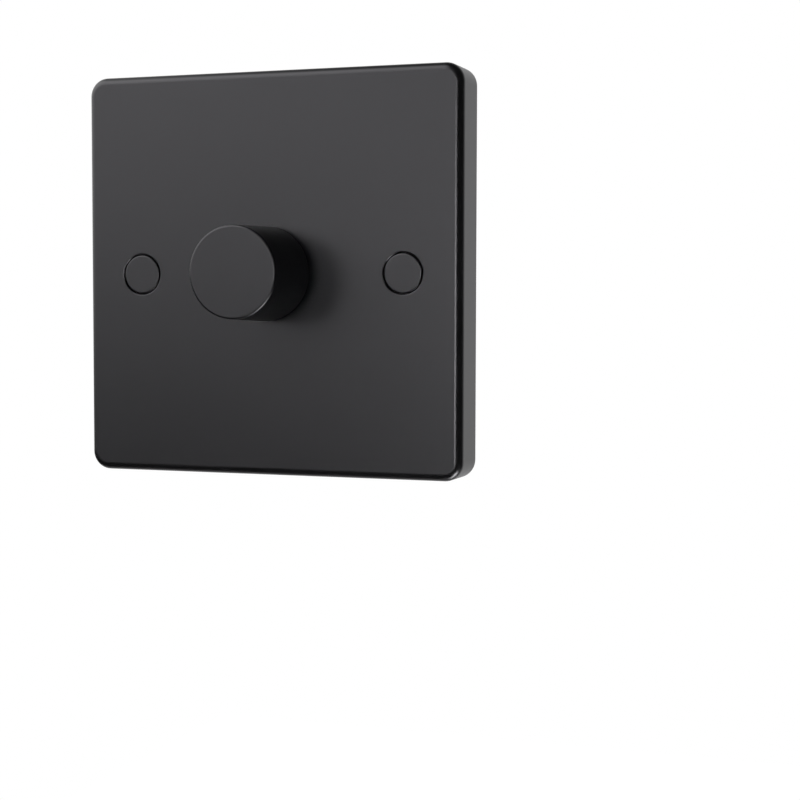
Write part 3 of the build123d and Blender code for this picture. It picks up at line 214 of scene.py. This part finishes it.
class StageLook(bpy.types.PropertyGroup):
    lens: bpy.props.FloatProperty(name="Lens", description="Focal length on a 36 mm sensor",
                                  subtype="DISTANCE_CAMERA", unit="CAMERA", default=74.745)
    yaw: angle("Yaw", "How far the camera is turned to the left", 19.215)
    pitch: angle("Pitch", "How far the camera looks down", 3.237)
    roll: angle("Roll", "How far the camera leans", 0.130)
    side: bpy.props.FloatProperty(name="Side", description="Where the plate's centre lies across the view",
                                  unit="LENGTH", default=-24.606 * MM)
    rise: bpy.props.FloatProperty(name="Rise", description="Where the plate's centre lies up the view",
                                  unit="LENGTH", default=27.330 * MM)
    distance: length("Distance", "How far the camera stands from the plate", 362.54)
    wide: share("Wide panel", "Strength of the wide soft panel in front, to the left and above", 1.92, 20.0)
    high: share("High panel", "Strength of the panel above the wide one", 1.3, 20.0)
    core: share("Core panel", "Strength of the small bright panel straight in front", 24.0, 40.0)
    low: share("Low panel", "Strength of the panel low down on the right", 16.0, 40.0)
    room: share("Room", "Strength of the rest of the room in front", 0.02, 5.0)
    backdrop: share("Backdrop", "Strength of the white backdrop in reflections", 0.70, 5.0)
    floor_drop: length("Floor", "How far the floor lies below the plate's centre", 350)
    floor_size: length("Floor size", "Length of a side of the floor", 900)
    floor_edge: length("Floor edge", "How far behind the wall's plane the floor begins", 20)


# Materials


def node(tree, kind, inputs=None, **settings):
    """Adds a node, sets what it is told, and links or fills its inputs."""
    made = tree.nodes.new(kind)
    for key, value in settings.items():
        setattr(made, key, value)
    for key, value in (inputs or {}).items():
        if isinstance(value, bpy.types.NodeSocket):
            tree.links.new(value, made.inputs[key])
        else:
            made.inputs[key].default_value = value
    return made


def new_material(name):
    """An empty node material and its tree."""
    material = bpy.data.materials.new(name)
    material.use_nodes = True
    material.node_tree.nodes.clear()
    return material, material.node_tree


def spread(tree, value, low, high, start=0.35, end=0.65):
    """Stretches the middle of a pattern over a range."""
    return node(tree, "ShaderNodeMapRange", {"Value": value, "From Min": start, "From Max": end,
                                             "To Min": low, "To Max": high}).outputs["Result"]


def blend_colours(tree, factor, first, second):
    """Mixes two colours by a pattern."""
    colours = [tuple(c) + (1,) if not isinstance(c, bpy.types.NodeSocket) else c for c in (first, second)]
    return node(tree, "ShaderNodeMix", {0: factor, 6: colours[0], 7: colours[1]}, data_type="RGBA").outputs[2]


def tinted(base, factor):
    """A lighter or darker tone of a colour."""
    return tuple(min(1.0, c * factor) for c in base)


def surface(tree, inputs):
    """Ends a material in one shader."""
    shader = node(tree, "ShaderNodeBsdfPrincipled", inputs)
    node(tree, "ShaderNodeOutputMaterial", {"Surface": shader.outputs["BSDF"]})


def satin_paint(name, base, look):
    """Black powder coat on steel or plastic, stoved so it flows into a shallow orange peel.
    The eye gets a soft, slightly broken sheen and hardly any colour."""
    material, tree = new_material(name)
    roughness, peel = look.paint_roughness, look.peel
    place = node(tree, "ShaderNodeTexCoord").outputs["Object"]
    ripple = node(tree, "ShaderNodeTexNoise", {"Vector": place, "Scale": 1 / peel, "Detail": 2.0})
    powder = node(tree, "ShaderNodeTexNoise", {"Vector": place, "Scale": 5 / peel, "Detail": 3.0})
    cloud = node(tree, "ShaderNodeTexNoise", {"Vector": place, "Scale": 0.06 / peel, "Detail": 3.0})
    tone = blend_colours(tree, spread(tree, cloud.outputs[0], 0, 1), tinted(base, 0.85), tinted(base, 1.15))
    soft = node(tree, "ShaderNodeBump", {"Strength": 0.04, "Distance": 0.004 * MM,
                                         "Height": ripple.outputs[0]})
    fine = node(tree, "ShaderNodeBump", {"Strength": 0.08, "Distance": 0.002 * MM,
                                         "Height": powder.outputs[0], "Normal": soft.outputs[0]})
    surface(tree, {"Base Color": tone, "IOR": 1.5, "Normal": fine.outputs[0],
                   "Specular Tint": tuple(look.sheen) + (1,),
                   "Roughness": spread(tree, powder.outputs[0], roughness - 0.02, roughness + 0.02)})
    return material


def moulded_plastic(name, base, roughness, grain, depth, ior, glow):
    """Injection-moulded plastic: a fine pitted skin from the spark-eroded mould, and faint flow clouds."""
    material, tree = new_material(name)
    place = node(tree, "ShaderNodeTexCoord").outputs["Object"]
    pits = node(tree, "ShaderNodeTexNoise", {"Vector": place, "Scale": 1 / grain, "Detail": 3.0})
    flow = node(tree, "ShaderNodeTexNoise", {"Vector": place, "Scale": 0.05 / grain, "Detail": 2.0,
                                             "Distortion": 0.6})
    tone = blend_colours(tree, spread(tree, flow.outputs[0], 0, 1), tinted(base, 0.985), tinted(base, 1.01))
    skin = node(tree, "ShaderNodeBump", {"Strength": 0.4, "Distance": depth * MM, "Height": pits.outputs[0]})
    surface(tree, {"Base Color": tone, "IOR": ior, "Normal": skin.outputs[0],
                   "Roughness": spread(tree, pits.outputs[0], roughness - 0.05, roughness + 0.05),
                   "Subsurface Weight": glow, "Subsurface Scale": 0.6 * MM})
    return material


def plated_metal(name, base, roughness, grain, stain=0.88):
    """Electroplated or bare pressed metal: small crystals, faint handling stains and a soft mirror."""
    material, tree = new_material(name)
    place = node(tree, "ShaderNodeTexCoord").outputs["Object"]
    crystals = node(tree, "ShaderNodeTexVoronoi", {"Vector": place, "Scale": 1 / grain})
    stains = node(tree, "ShaderNodeTexNoise", {"Vector": place, "Scale": 0.12 / grain, "Detail": 4.0})
    tone = blend_colours(tree, spread(tree, stains.outputs[0], 0, 1), tinted(base, stain), base)
    skin = node(tree, "ShaderNodeBump", {"Strength": 0.2, "Distance": 0.003 * MM,
                                         "Height": crystals.outputs["Distance"]})
    surface(tree, {"Base Color": tone, "Metallic": 1.0, "Normal": skin.outputs[0],
                   "Roughness": spread(tree, stains.outputs[0], roughness - 0.05, roughness + 0.08)})
    return material


def brushed_metal(name, base, roughness, brush):
    """Rolled or drawn metal: long fine marks, all laid along X, so a light smears across them."""
    material, tree = new_material(name)
    place = node(tree, "ShaderNodeTexCoord").outputs["Object"]
    stretched = node(tree, "ShaderNodeMapping", {"Vector": place, "Scale": (0.03, 1, 1)})
    marks = node(tree, "ShaderNodeTexNoise", {"Vector": stretched.outputs[0], "Scale": 1 / brush,
                                              "Detail": 2.0})
    skin = node(tree, "ShaderNodeBump", {"Strength": 0.3, "Distance": 0.003 * MM, "Height": marks.outputs[0]})
    tone = blend_colours(tree, spread(tree, marks.outputs[0], 0, 1), tinted(base, 0.93), base)
    surface(tree, {"Base Color": tone, "Metallic": 1.0, "Normal": skin.outputs[0],
                   "Roughness": spread(tree, marks.outputs[0], roughness - 0.06, roughness + 0.06)})
    return material


def wound_wire(name, base, wire, centre):
    """Enamelled copper laid turn by turn: round ridges at the wire's own spacing, glossy with varnish, with
    painted shade that darkens the grooves between the turns.
    """
    material, tree = new_material(name)
    place = node(tree, "ShaderNodeTexCoord").outputs["Object"]
    local = node(tree, "ShaderNodeMapping", {"Vector": place, "Location": tuple(-c for c in centre)})
    # At a scale of 1 the wave repeats every pi / 10
    turns = node(tree, "ShaderNodeTexWave", {"Vector": local.outputs[0], "Scale": math.pi / 10 / wire,
                                             "Distortion": 0.0}, bands_direction="Y")
    skin = node(tree, "ShaderNodeBump", {"Strength": 0.9, "Distance": 0.3 * wire, "Height": turns.outputs[0]})
    # Painted shade: the copper darkens to about a third of its colour in the grooves between turns, where the
    # bump sinks
    tone = blend_colours(tree, turns.outputs[0], tinted(base, 0.35), base)
    surface(tree, {"Base Color": tone, "Metallic": 1.0, "Roughness": 0.3, "Coat Weight": 0.6,
                   "Normal": skin.outputs[0]})
    return material


def board_laminate(name, mask):
    """Glass-epoxy board: woven glass and copper tracks show through a thin green lacquer."""
    material, tree = new_material(name)
    place = node(tree, "ShaderNodeTexCoord").outputs["Object"]
    upright = node(tree, "ShaderNodeMapping", {"Vector": place, "Rotation": (math.pi / 2, 0, 0)})
    tracks = node(tree, "ShaderNodeTexBrick", {
        "Vector": upright.outputs[0],
        "Scale": 1 / (5.0 * MM), "Mortar Size": 0.035, "Mortar Smooth": 0.1,
        "Color1": (0, 0, 0, 1), "Color2": (0, 0, 0, 1), "Mortar": (1, 1, 1, 1)})
    weave = node(tree, "ShaderNodeTexChecker", {"Vector": place, "Scale": 1 / (0.5 * MM)})
    lacquer = blend_colours(tree, weave.outputs[1], tinted(mask, 0.92), mask)
    tone = blend_colours(tree, tracks.outputs[0], lacquer, tinted(mask, 1.9))
    skin = node(tree, "ShaderNodeBump", {"Strength": 0.6, "Distance": 0.035 * MM,
                                         "Height": tracks.outputs[0]})
    surface(tree, {"Base Color": tone, "Roughness": 0.28, "IOR": 1.55, "Normal": skin.outputs[0]})
    return material


def fibre_board(name, base):
    """Paper-based phenolic: brown, with short darker fibres across the sheet."""
    material, tree = new_material(name)
    place = node(tree, "ShaderNodeTexCoord").outputs["Object"]
    long = node(tree, "ShaderNodeMapping", {"Vector": place, "Scale": (0.2, 1, 1)})
    fibres = node(tree, "ShaderNodeTexNoise", {"Vector": long.outputs[0], "Scale": 1 / (0.25 * MM),
                                               "Detail": 3.0})
    tone = blend_colours(tree, spread(tree, fibres.outputs[0], 0, 1), tinted(base, 0.7), tinted(base, 1.15))
    skin = node(tree, "ShaderNodeBump", {"Strength": 0.2, "Distance": 0.005 * MM,
                                         "Height": fibres.outputs[0]})
    surface(tree, {"Base Color": tone, "Roughness": 0.42, "Normal": skin.outputs[0]})
    return material


def sintered_ferrite(name, base):
    """Pressed and fired ferrite: charcoal grey, dry and granular."""
    material, tree = new_material(name)
    place = node(tree, "ShaderNodeTexCoord").outputs["Object"]
    grains = node(tree, "ShaderNodeTexVoronoi", {"Vector": place, "Scale": 1 / (0.2 * MM)})
    tone = blend_colours(tree, spread(tree, grains.outputs[0], 0, 1, 0, 0.8), tinted(base, 0.7),
                         tinted(base, 1.3))
    skin = node(tree, "ShaderNodeBump", {"Strength": 0.5, "Distance": 0.01 * MM, "Height": grains.outputs[0]})
    surface(tree, {"Base Color": tone, "Roughness": 0.62, "Normal": skin.outputs[0]})
    return material


FINISHES = {}


def dress(slot, material):
    """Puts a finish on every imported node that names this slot."""
    for part in SLOT_NODES[slot]:
        for place in part.material_slots:
            place.material = material
    FINISHES[slot] = material


# Pieces


def finish_piece(name, mesh, body, slot, *stands_for):
    """Makes a finished mesh an object that rides on a body, with the finish of a slot."""
    kept = bpy.data.meshes.new(name)
    bmesh.ops.remove_doubles(mesh, verts=mesh.verts, dist=MERGE)
    bmesh.ops.recalc_face_normals(mesh, faces=mesh.faces)
    mesh.to_mesh(kept)
    mesh.free()
    kept.materials.append(FINISHES[slot])
    piece = bpy.data.objects.new(name, kept)
    bpy.context.scene.collection.objects.link(piece)
    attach(piece, body)
    if stands_for:
        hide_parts(*stands_for)
    return piece


def smooth_by_angle(piece, rim=None):
    """Shades a piece smooth, with its sharp edges kept, and the edge behind its front rim if it has one."""
    mesh = bmesh.new()
    mesh.from_mesh(piece.data)
    front = min(v.co.y for v in mesh.verts)
    for face in mesh.faces:
        face.smooth = True
    for edge in mesh.edges:
        edge.smooth = len(edge.link_faces) == 2 and edge.calc_face_angle() < SHARP_ANGLE
        if rim and all(abs(v.co.y - front - rim) < RIM_REACH for v in edge.verts):
            edge.smooth = False
    mesh.to_mesh(piece.data)
    mesh.free()


def turned_solid(mesh, outline, x, steps):
    """Turns an outline of (radius, y) points about an axis along Y."""
    points = [mesh.verts.new((x + radius, y, 0)) for radius, y in outline]
    edges = [mesh.edges.new(pair) for pair in zip(points, points[1:])]
    bmesh.ops.spin(mesh, geom=points + edges, cent=(x, 0, 0), axis=(0, 1, 0), angle=2 * math.pi,
                   steps=steps, use_merge=True, use_duplicate=False)
    bmesh.ops.remove_doubles(mesh, verts=mesh.verts, dist=MERGE)


def helical_ridge(mesh, x, root, crest, start, end, pitch, steps):
    """Winds a thread's ridge about an axis along Y, from start to end. A crest inside the root makes
    the cutter of a groove."""
    foot, flat = FOOT_SHARE * pitch, CREST_SHARE * pitch
    section = [(root, start - foot), (crest, start - flat), (crest, start + flat), (root, start + foot)]
    points = [mesh.verts.new((x + radius, y, 0)) for radius, y in section]
    edges = [mesh.edges.new(pair) for pair in zip(points, points[1:] + points[:1])]
    turns = (end - start) / pitch
    count = int(turns * steps)
    made = bmesh.ops.spin(mesh, geom=points + edges, cent=(x, 0, 0), axis=(0, -1, 0),
                          dvec=(0, (end - start) / count, 0), angle=2 * math.pi * turns, steps=count,
                          use_merge=False, use_duplicate=False)
    last = [e for e in made["geom_last"] if isinstance(e, bmesh.types.BMEdge)]
    bmesh.ops.holes_fill(mesh, edges=edges + last, sides=4)


def cut_away(piece, cutter_mesh):
    """Cuts a closed mesh out of a piece."""
    kept = bpy.data.meshes.new("cutter")
    cutter_mesh.to_mesh(kept)
    cutter_mesh.free()
    cutter = bpy.data.objects.new("cutter", kept)
    bpy.context.scene.collection.objects.link(cutter)
    before = len(piece.data.polygons)
    cut = piece.modifiers.new("cut", "BOOLEAN")
    cut.operation = "DIFFERENCE"
    cut.solver = "EXACT"
    cut.object = cutter
    graph = bpy.context.evaluated_depsgraph_get()
    result = bpy.data.meshes.new_from_object(piece.evaluated_get(graph))
    if len(result.polygons) <= before:
        raise RuntimeError("the cut into " + piece.name + " failed")
    piece.modifiers.clear()
    piece.data = result
    bpy.data.objects.remove(cutter)


def packed_copy(source):
    """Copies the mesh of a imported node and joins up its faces."""
    mesh = bmesh.new()
    mesh.from_mesh(frame["nodes"][source].data)
    bmesh.ops.remove_doubles(mesh, verts=mesh.verts, dist=MERGE)
    return mesh


def rounded_copy(source, margin):
    """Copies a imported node, with a narrow ring about its flat front to end the shading of the rim."""
    mesh = packed_copy(source)
    front = min(v.co.y for v in mesh.verts)
    flat = [face for face in mesh.faces if max(v.co.y for v in face.verts) < front + 2 * MERGE]
    disc = bmesh.ops.dissolve_faces(mesh, faces=flat)["region"]
    bmesh.ops.inset_region(mesh, faces=disc, thickness=margin, depth=0)
    return mesh


# Operators


class DIMMER_OT_paint_plate(bpy.types.Operator):
    """Paint the wall plate, the knob and the screw caps"""
    bl_idname = "object.dimmer_paint_plate"
    bl_label = "Paint Plate and Knob"

    def execute(self, context):
        look = context.scene.dimmer_plate
        dress("plate_paint", satin_paint("powder_coated_steel", look.paint, look))
        dress("cap_paint", satin_paint("painted_abs_cap", look.cap_paint, look))
        dress("knob_paint", satin_paint("painted_abs_knob", look.knob_paint, look))
        return {"FINISHED"}


class DIMMER_OT_finish_mouldings(bpy.types.Operator):
    """Give every moulded piece its plastic"""
    bl_idname = "object.dimmer_finish_mouldings"
    bl_label = "Finish Mouldings"

    def execute(self, context):
        look = context.scene.dimmer_module
        liner = context.scene.dimmer_plate.liner
        # Slot, name, colour, roughness, grain as a multiple of the mould's, depth of the pits in mm, index
        # of refraction, and share of light that goes into the wall
        finishes = (
            # Glass-filled polycarbonate: matt, with a coarse skin
            ("liner_plastic", "black_polycarbonate", liner, 0.52, 1.6, 0.012, 1.5, 0),
            # ABS from a finely sparked mould: soft white, with a little light inside the wall
            ("case_plastic", "white_abs", look.case, 0.42, 1, 0.006, 1.5, 0.08),
            # Glass-filled nylon: strong blue with a waxy sheen
            ("bush_plastic", "blue_nylon", look.bush, 0.38, 1, 0.008, 1.53, 0),
            # Acetal from a polished mould: slippery and glossy
            ("shaft_plastic", "black_acetal", look.shaft, 0.22, 1, 0.003, 1.48, 0),
            ("rotor_plastic", "natural_acetal", linear("e6e2d6"), 0.30, 1, 0.003, 1.48, 0),
            ("plunger_plastic", "ivory_acetal", linear("dfd9c8"), 0.30, 1, 0.003, 1.48, 0),
            # Nylon with mineral filler: plain and a little chalky
            ("switch_plastic", "black_nylon", linear("232324"), 0.48, 1, 0.006, 1.5, 0),
            # Flame-retardant nylon: bright green, half gloss
            ("terminal_plastic", "green_nylon", look.terminal, 0.34, 1, 0.004, 1.53, 0),
            # Polyester of the trimmer, the fuse and the film capacitor: smooth, half gloss
            ("trimmer_plastic", "blue_polyester", look.trimmer, 0.32, 1, 0.004, 1.57, 0),
            ("fuse_plastic", "brown_polyester", linear("4a3427"), 0.40, 1, 0.004, 1.57, 0),
            ("capacitor_box", "yellow_polyester", linear("c9a227"), 0.38, 1, 0.005, 1.57, 0),
            # Shrink film: thin, tight and glossy over the can
            ("capacitor_sleeve", "shrink_film", linear("2b3a5c"), 0.18, 2, 0.010, 1.53, 0),
            # Transfer-moulded epoxy: matt charcoal with a sandy skin
            ("chip_epoxy", "black_epoxy", linear("27282a"), 0.56, 0.5, 0.008, 1.55, 0),
        )
        for slot, name, base, roughness, coarse, depth, ior, glow in finishes:
            grain = coarse * look.grain
            dress(slot, moulded_plastic(name, base, roughness, grain, depth, ior, glow))
        return {"FINISHED"}


class DIMMER_OT_finish_metals(bpy.types.Operator):
    """Give every metal piece its plate, brass or brushed sheet"""
    bl_idname = "object.dimmer_finish_metals"
    bl_label = "Finish Metals"

    def execute(self, context):
        look = context.scene.dimmer_metal
        # Bright zinc over steel: bluish white, with small crystals
        dress("zinc_steel", plated_metal("bright_zinc_steel", look.zinc, 0.28, 0.25 * MM))
        # Blanked and bent brass: warm, with fingerprints beginning to dull it
        dress("brass_plain", plated_metal("pressed_brass", look.brass, 0.27, 0.4 * MM, stain=0.8))
        # The same under nickel: pale gold, cleaner and smoother
        dress("cage_brass", plated_metal("nickelled_brass", look.cage, 0.24, 0.3 * MM))
        # Spring bronze: pinkish gold, with fine marks
        dress("contact_brass", brushed_metal("phosphor_bronze", linear("c58f58"), 0.30, look.brush))
        # Dipped tin: soft and a little lumpy
        dress("tinned_metal", plated_metal("dipped_tin", linear("c9cac6"), 0.33, 0.5 * MM))
        # Spring steel: darker than the zinc, with fine marks
        dress("spring_steel", brushed_metal("spring_steel", linear("8f9296"), 0.32, look.brush))
        # Rolled sheet: light and silky
        dress("heat_aluminium", brushed_metal("rolled_aluminium", look.aluminium, 0.34, look.brush))
        # Varnished magnet wire, laid turn by turn
        low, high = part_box("choke_winding")
        middle = [(a + b) / 2 for a, b in zip(low, high)]
        winding = wound_wire("enamelled_copper_wire", look.copper, wire=0.45 * MM, centre=middle)
        dress("enamelled_copper", winding)
        return {"FINISHED"}


class DIMMER_OT_finish_board(bpy.types.Operator):
    """Give the circuit board, the wafer and the choke core their sheet and ceramic looks"""
    bl_idname = "object.dimmer_finish_board"
    bl_label = "Finish Board"

    def execute(self, context):
        look = context.scene.dimmer_module
        dress("board_epoxy", board_laminate("glass_epoxy_laminate", look.mask))
        dress("wafer_phenolic", fibre_board("paper_phenolic", linear("6b3f22")))
        dress("ferrite", sintered_ferrite("fired_ferrite", linear("3a3a3c")))
        return {"FINISHED"}


class DIMMER_OT_round_rims(bpy.types.Operator):
    """Replace the knob and the screw caps by copies whose front rims are smoothly rounded"""
    bl_idname = "object.dimmer_round_rims"
    bl_label = "Round Rims"

    def execute(self, context):
        sizes = context.scene.dimmer_rims
        self.round_off("knob", "knob_and_shaft", "knob_paint", sizes.knob_rim, sizes.margin)
        for side in ("left", "right"):
            self.round_off("screw_cap_" + side, "module", "cap_paint", sizes.cap_rim, sizes.margin)
        return {"FINISHED"}

    def round_off(self, source, body, slot, rim, margin):
        """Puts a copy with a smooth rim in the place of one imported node."""
        mesh = rounded_copy(source, margin)
        piece = finish_piece("smooth_" + source, mesh, body, slot, source)
        smooth_by_angle(piece, rim=rim)


class DIMMER_OT_cut_screws(bpy.types.Operator):
    """Replace the two plain fixing screws by screws with a real thread and slot"""
    bl_idname = "object.dimmer_cut_screws"
    bl_label = "Cut Fixing Screws"

    def execute(self, context):
        sizes = context.scene.dimmer_threads
        for side in ("left", "right"):
            low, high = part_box("fixing_screw_" + side)
            x = (low[0] + high[0]) / 2
            head = (high[0] - low[0]) / 2
            top, tip = low[1], high[1]
            core, chamfer = sizes.screw_core, sizes.tip_chamfer
            mesh = bmesh.new()
            turned_solid(mesh, [(0, top), (head, top), (core, top + head - core), (core, tip - chamfer),
                                (core - chamfer, tip), (0, tip)], x, CORE_STEPS)
            name = "threaded_screw_" + side
            screw = finish_piece(name, mesh, "module", "zinc_steel", "fixing_screw_" + side)
            self.cut_slot(screw, x, top, head, sizes)
            mesh = bmesh.new()
            mesh.from_mesh(screw.data)
            helical_ridge(mesh, x, core - FOOT_DEPTH, sizes.screw_crest, top + sizes.screw_shank,
                          tip - sizes.thread_end, sizes.screw_pitch, SCREW_STEPS)
            bmesh.ops.recalc_face_normals(mesh, faces=mesh.faces)
            mesh.to_mesh(screw.data)
            mesh.free()
            smooth_by_angle(screw)
        return {"FINISHED"}

    def cut_slot(self, screw, x, top, head, sizes):
        """Cuts the driver slot across the head."""
        cutter = bmesh.new()
        bmesh.ops.create_cube(cutter, size=1.0)
        across = 2.4 * head  # past the head on both sides
        bmesh.ops.scale(cutter, vec=(across, 2 * sizes.slot_depth, sizes.slot_width), verts=cutter.verts)
        bmesh.ops.translate(cutter, vec=(x, top, 0), verts=cutter.verts)
        cut_away(screw, cutter)


class DIMMER_OT_thread_bush(bpy.types.Operator):
    """Replace the control's body by a copy with a real thread cut round its bush"""
    bl_idname = "object.dimmer_thread_bush"
    bl_label = "Thread Bush"

    def execute(self, context):
        sizes = context.scene.dimmer_threads
        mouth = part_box("control_body")[0][1]
        mesh = packed_copy("control_body")
        bush = finish_piece("threaded_control", mesh, "module", "bush_plastic", "control_body")
        cutter = bmesh.new()
        helical_ridge(cutter, 0, sizes.bush_radius + CUTTER_MARGIN, sizes.bush_radius - sizes.bush_depth,
                      mouth - CUTTER_MARGIN, mouth + sizes.bush_length, sizes.bush_pitch, BUSH_STEPS)
        bmesh.ops.recalc_face_normals(cutter, faces=cutter.faces)
        cut_away(bush, cutter)
        smooth_by_angle(bush)
        return {"FINISHED"}


class DIMMER_OT_load_spring(bpy.types.Operator):
    """Replace the push spring by a smooth-shaded copy with a mesh of its own"""
    bl_idname = "object.dimmer_load_spring"
    bl_label = "Load Push Spring"

    def execute(self, context):
        mesh = packed_copy("push_spring")
        spring = finish_piece("loaded_spring", mesh, "module", "spring_steel", "push_spring")
        smooth_by_angle(spring)
        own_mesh(spring)
        return {"FINISHED"}


class DIMMER_OT_set_stage(bpy.types.Operator):
    """Set the camera, the soft light and the pale floor"""
    bl_idname = "scene.dimmer_set_stage"
    bl_label = "Set Stage"

    def execute(self, context):
        look = context.scene.dimmer_stage
        self.place_camera(look)
        self.light_room(look)
        self.lay_floor(look)
        context.scene.view_settings.view_transform = "Standard"
        return {"FINISHED"}

    def place_camera(self, look):
        """Puts the camera at the photograph's angle and distance."""
        yaw, pitch, roll = look.yaw, look.pitch, look.roll
        ahead = Vector((-math.sin(yaw) * math.cos(pitch), math.cos(yaw) * math.cos(pitch), -math.sin(pitch)))
        level = Vector((math.cos(yaw), math.sin(yaw), 0))
        upright = level.cross(ahead)
        right = level * math.cos(roll) + upright * math.sin(roll)
        up = upright * math.cos(roll) - level * math.sin(roll)
        eye = -look.side * right - look.rise * up - look.distance * ahead
        camera = bpy.data.objects.new("camera", bpy.data.cameras.new("camera"))
        bpy.context.scene.collection.objects.link(camera)
        camera.data.sensor_width = 36
        camera.data.lens = look.lens
        camera.data.clip_start, camera.data.clip_end = 0.01, 20
        camera.matrix_world = Matrix((
            (right.x, up.x, -ahead.x, eye.x), (right.y, up.y, -ahead.y, eye.y),
            (right.z, up.z, -ahead.z, eye.z), (0, 0, 0, 1)))
        bpy.context.scene.camera = camera

    def light_room(self, look):
        """Even light for every colour, and in reflections a white backdrop behind, a dim room in front
        and four soft panels."""
        world = bpy.data.worlds.new("studio")
        world.use_nodes = True
        tree = world.node_tree
        tree.nodes.clear()
        way = node(tree, "ShaderNodeTexCoord").outputs["Generated"]
        parts = node(tree, "ShaderNodeSeparateXYZ", {"Vector": way}).outputs
        toward = node(tree, "ShaderNodeMath", {0: parts["Y"], 1: -1.0}, operation="MULTIPLY").outputs[0]
        turn = node(tree, "ShaderNodeMath", {0: parts["X"], 1: toward}, operation="ARCTAN2").outputs[0]
        rise = node(tree, "ShaderNodeMath", {0: parts["Z"]}, operation="ARCSINE").outputs[0]
        room = node(tree, "ShaderNodeMapRange", {
            "Value": parts["Y"], "From Min": BACKDROP_START, "From Max": BACKDROP_FULL,
            "To Min": look.room, "To Max": look.backdrop}, interpolation_type="SMOOTHSTEP").outputs[0]
        studio = room
        for name, (turns, rises) in PANELS.items():
            panel = self.panel(tree, turn, rise, getattr(look, name), turns, rises)
            studio = node(tree, "ShaderNodeMath", {0: studio, 1: panel}, operation="ADD").outputs[0]
        path = node(tree, "ShaderNodeLightPath")
        strength = node(tree, "ShaderNodeMix", {0: path.outputs["Is Glossy Ray"], 2: 1.0, 3: studio},
                        data_type="FLOAT")
        glow = node(tree, "ShaderNodeBackground", {"Strength": strength.outputs[0]})
        glow.inputs["Color"].default_value = (1, 1, 1, 1)
        node(tree, "ShaderNodeOutputWorld", {"Surface": glow.outputs[0]})
        world.cycles.sampling_method = "NONE"
        bpy.context.scene.world = world

    def panel(self, tree, turn, rise, strength, turns, rises):
        """One soft panel: it fades in and out between the given angles, across and upwards."""
        value = strength
        for way, (start, full, fade, end) in ((turn, turns), (rise, rises)):
            for low, high in ((start, full), (end, fade)):
                step = node(tree, "ShaderNodeMapRange", {
                    "Value": way, "From Min": math.radians(low), "From Max": math.radians(high)},
                    interpolation_type="SMOOTHSTEP").outputs[0]
                value = node(tree, "ShaderNodeMath", {0: step, 1: value}, operation="MULTIPLY").outputs[0]
        return value

    def lay_floor(self, look):
        """A pale floor far below, white to the camera apart from the object's shadow."""
        mesh = bmesh.new()
        bmesh.ops.create_grid(mesh, x_segments=1, y_segments=1, size=look.floor_size / 2)
        middle = look.floor_edge + look.floor_size / 2
        bmesh.ops.translate(mesh, vec=(0, middle, -look.floor_drop), verts=mesh.verts)
        kept = bpy.data.meshes.new("floor")
        mesh.to_mesh(kept)
        mesh.free()
        floor = bpy.data.objects.new("floor", kept)
        bpy.context.scene.collection.objects.link(floor)
        material, tree = new_material("pale_floor_paint")
        paint = node(tree, "ShaderNodeBsdfDiffuse", {"Color": linear(FLOOR_PAINT) + (1,), "Roughness": 0.5})
        white = node(tree, "ShaderNodeEmission", {"Color": (1, 1, 1, 1), "Strength": FLOOR_GLOW})
        path = node(tree, "ShaderNodeLightPath")
        seen = node(tree, "ShaderNodeMath", {0: path.outputs["Is Camera Ray"], 1: FLOOR_GLOW_SHARE},
                    operation="MULTIPLY")
        mixed = node(tree, "ShaderNodeMixShader", {0: seen.outputs[0], 1: paint.outputs[0],
                                                   2: white.outputs[0]})
        node(tree, "ShaderNodeOutputMaterial", {"Surface": mixed.outputs[0]})
        kept.materials.append(material)


class DIMMER_PT_panel(bpy.types.Panel):
    """Lists the dimmer's settings and steps"""
    bl_idname = "VIEW3D_PT_dimmer"
    bl_label = "Dimmer"
    bl_space_type = "VIEW_3D"
    bl_region_type = "UI"
    bl_category = "Dimmer"

    def draw(self, context):
        for group in GROUPS:
            box = self.layout.box()
            settings = getattr(context.scene, group)
            for key in settings.bl_rna.properties.keys():
                if key not in ("rna_type", "name"):
                    box.prop(settings, key)
        for step in STEPS:
            self.layout.operator(step.bl_idname)


GROUPS = {"dimmer_plate": PlateLook, "dimmer_module": ModuleLook, "dimmer_metal": MetalLook,
          "dimmer_rims": RimSizes, "dimmer_threads": ThreadSizes, "dimmer_spring": SpringSizes,
          "dimmer_stage": StageLook}
STEPS = (DIMMER_OT_paint_plate, DIMMER_OT_finish_mouldings, DIMMER_OT_finish_metals,
         DIMMER_OT_finish_board, DIMMER_OT_round_rims, DIMMER_OT_cut_screws, DIMMER_OT_thread_bush,
         DIMMER_OT_load_spring, DIMMER_OT_set_stage)


def register():
    """Registers the settings, the steps and the panel."""
    for name, group in GROUPS.items():
        bpy.utils.register_class(group)
        setattr(bpy.types.Scene, name, bpy.props.PointerProperty(type=group))
    for step in STEPS:
        bpy.utils.register_class(step)
    bpy.utils.register_class(DIMMER_PT_panel)


def unregister():
    """Takes the settings, the steps and the panel away again."""
    bpy.utils.unregister_class(DIMMER_PT_panel)
    for step in reversed(STEPS):
        bpy.utils.unregister_class(step)
    for name, group in GROUPS.items():
        delattr(bpy.types.Scene, name)
        bpy.utils.unregister_class(group)


def main():
    """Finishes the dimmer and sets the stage."""
    register()
    bpy.ops.object.dimmer_paint_plate()
    bpy.ops.object.dimmer_finish_mouldings()
    bpy.ops.object.dimmer_finish_metals()
    bpy.ops.object.dimmer_finish_board()
    bpy.ops.object.dimmer_round_rims()
    bpy.ops.object.dimmer_cut_screws()
    bpy.ops.object.dimmer_thread_bush()
    bpy.ops.object.dimmer_load_spring()
    bpy.ops.scene.dimmer_set_stage()


if __name__ == "__main__":
    main()
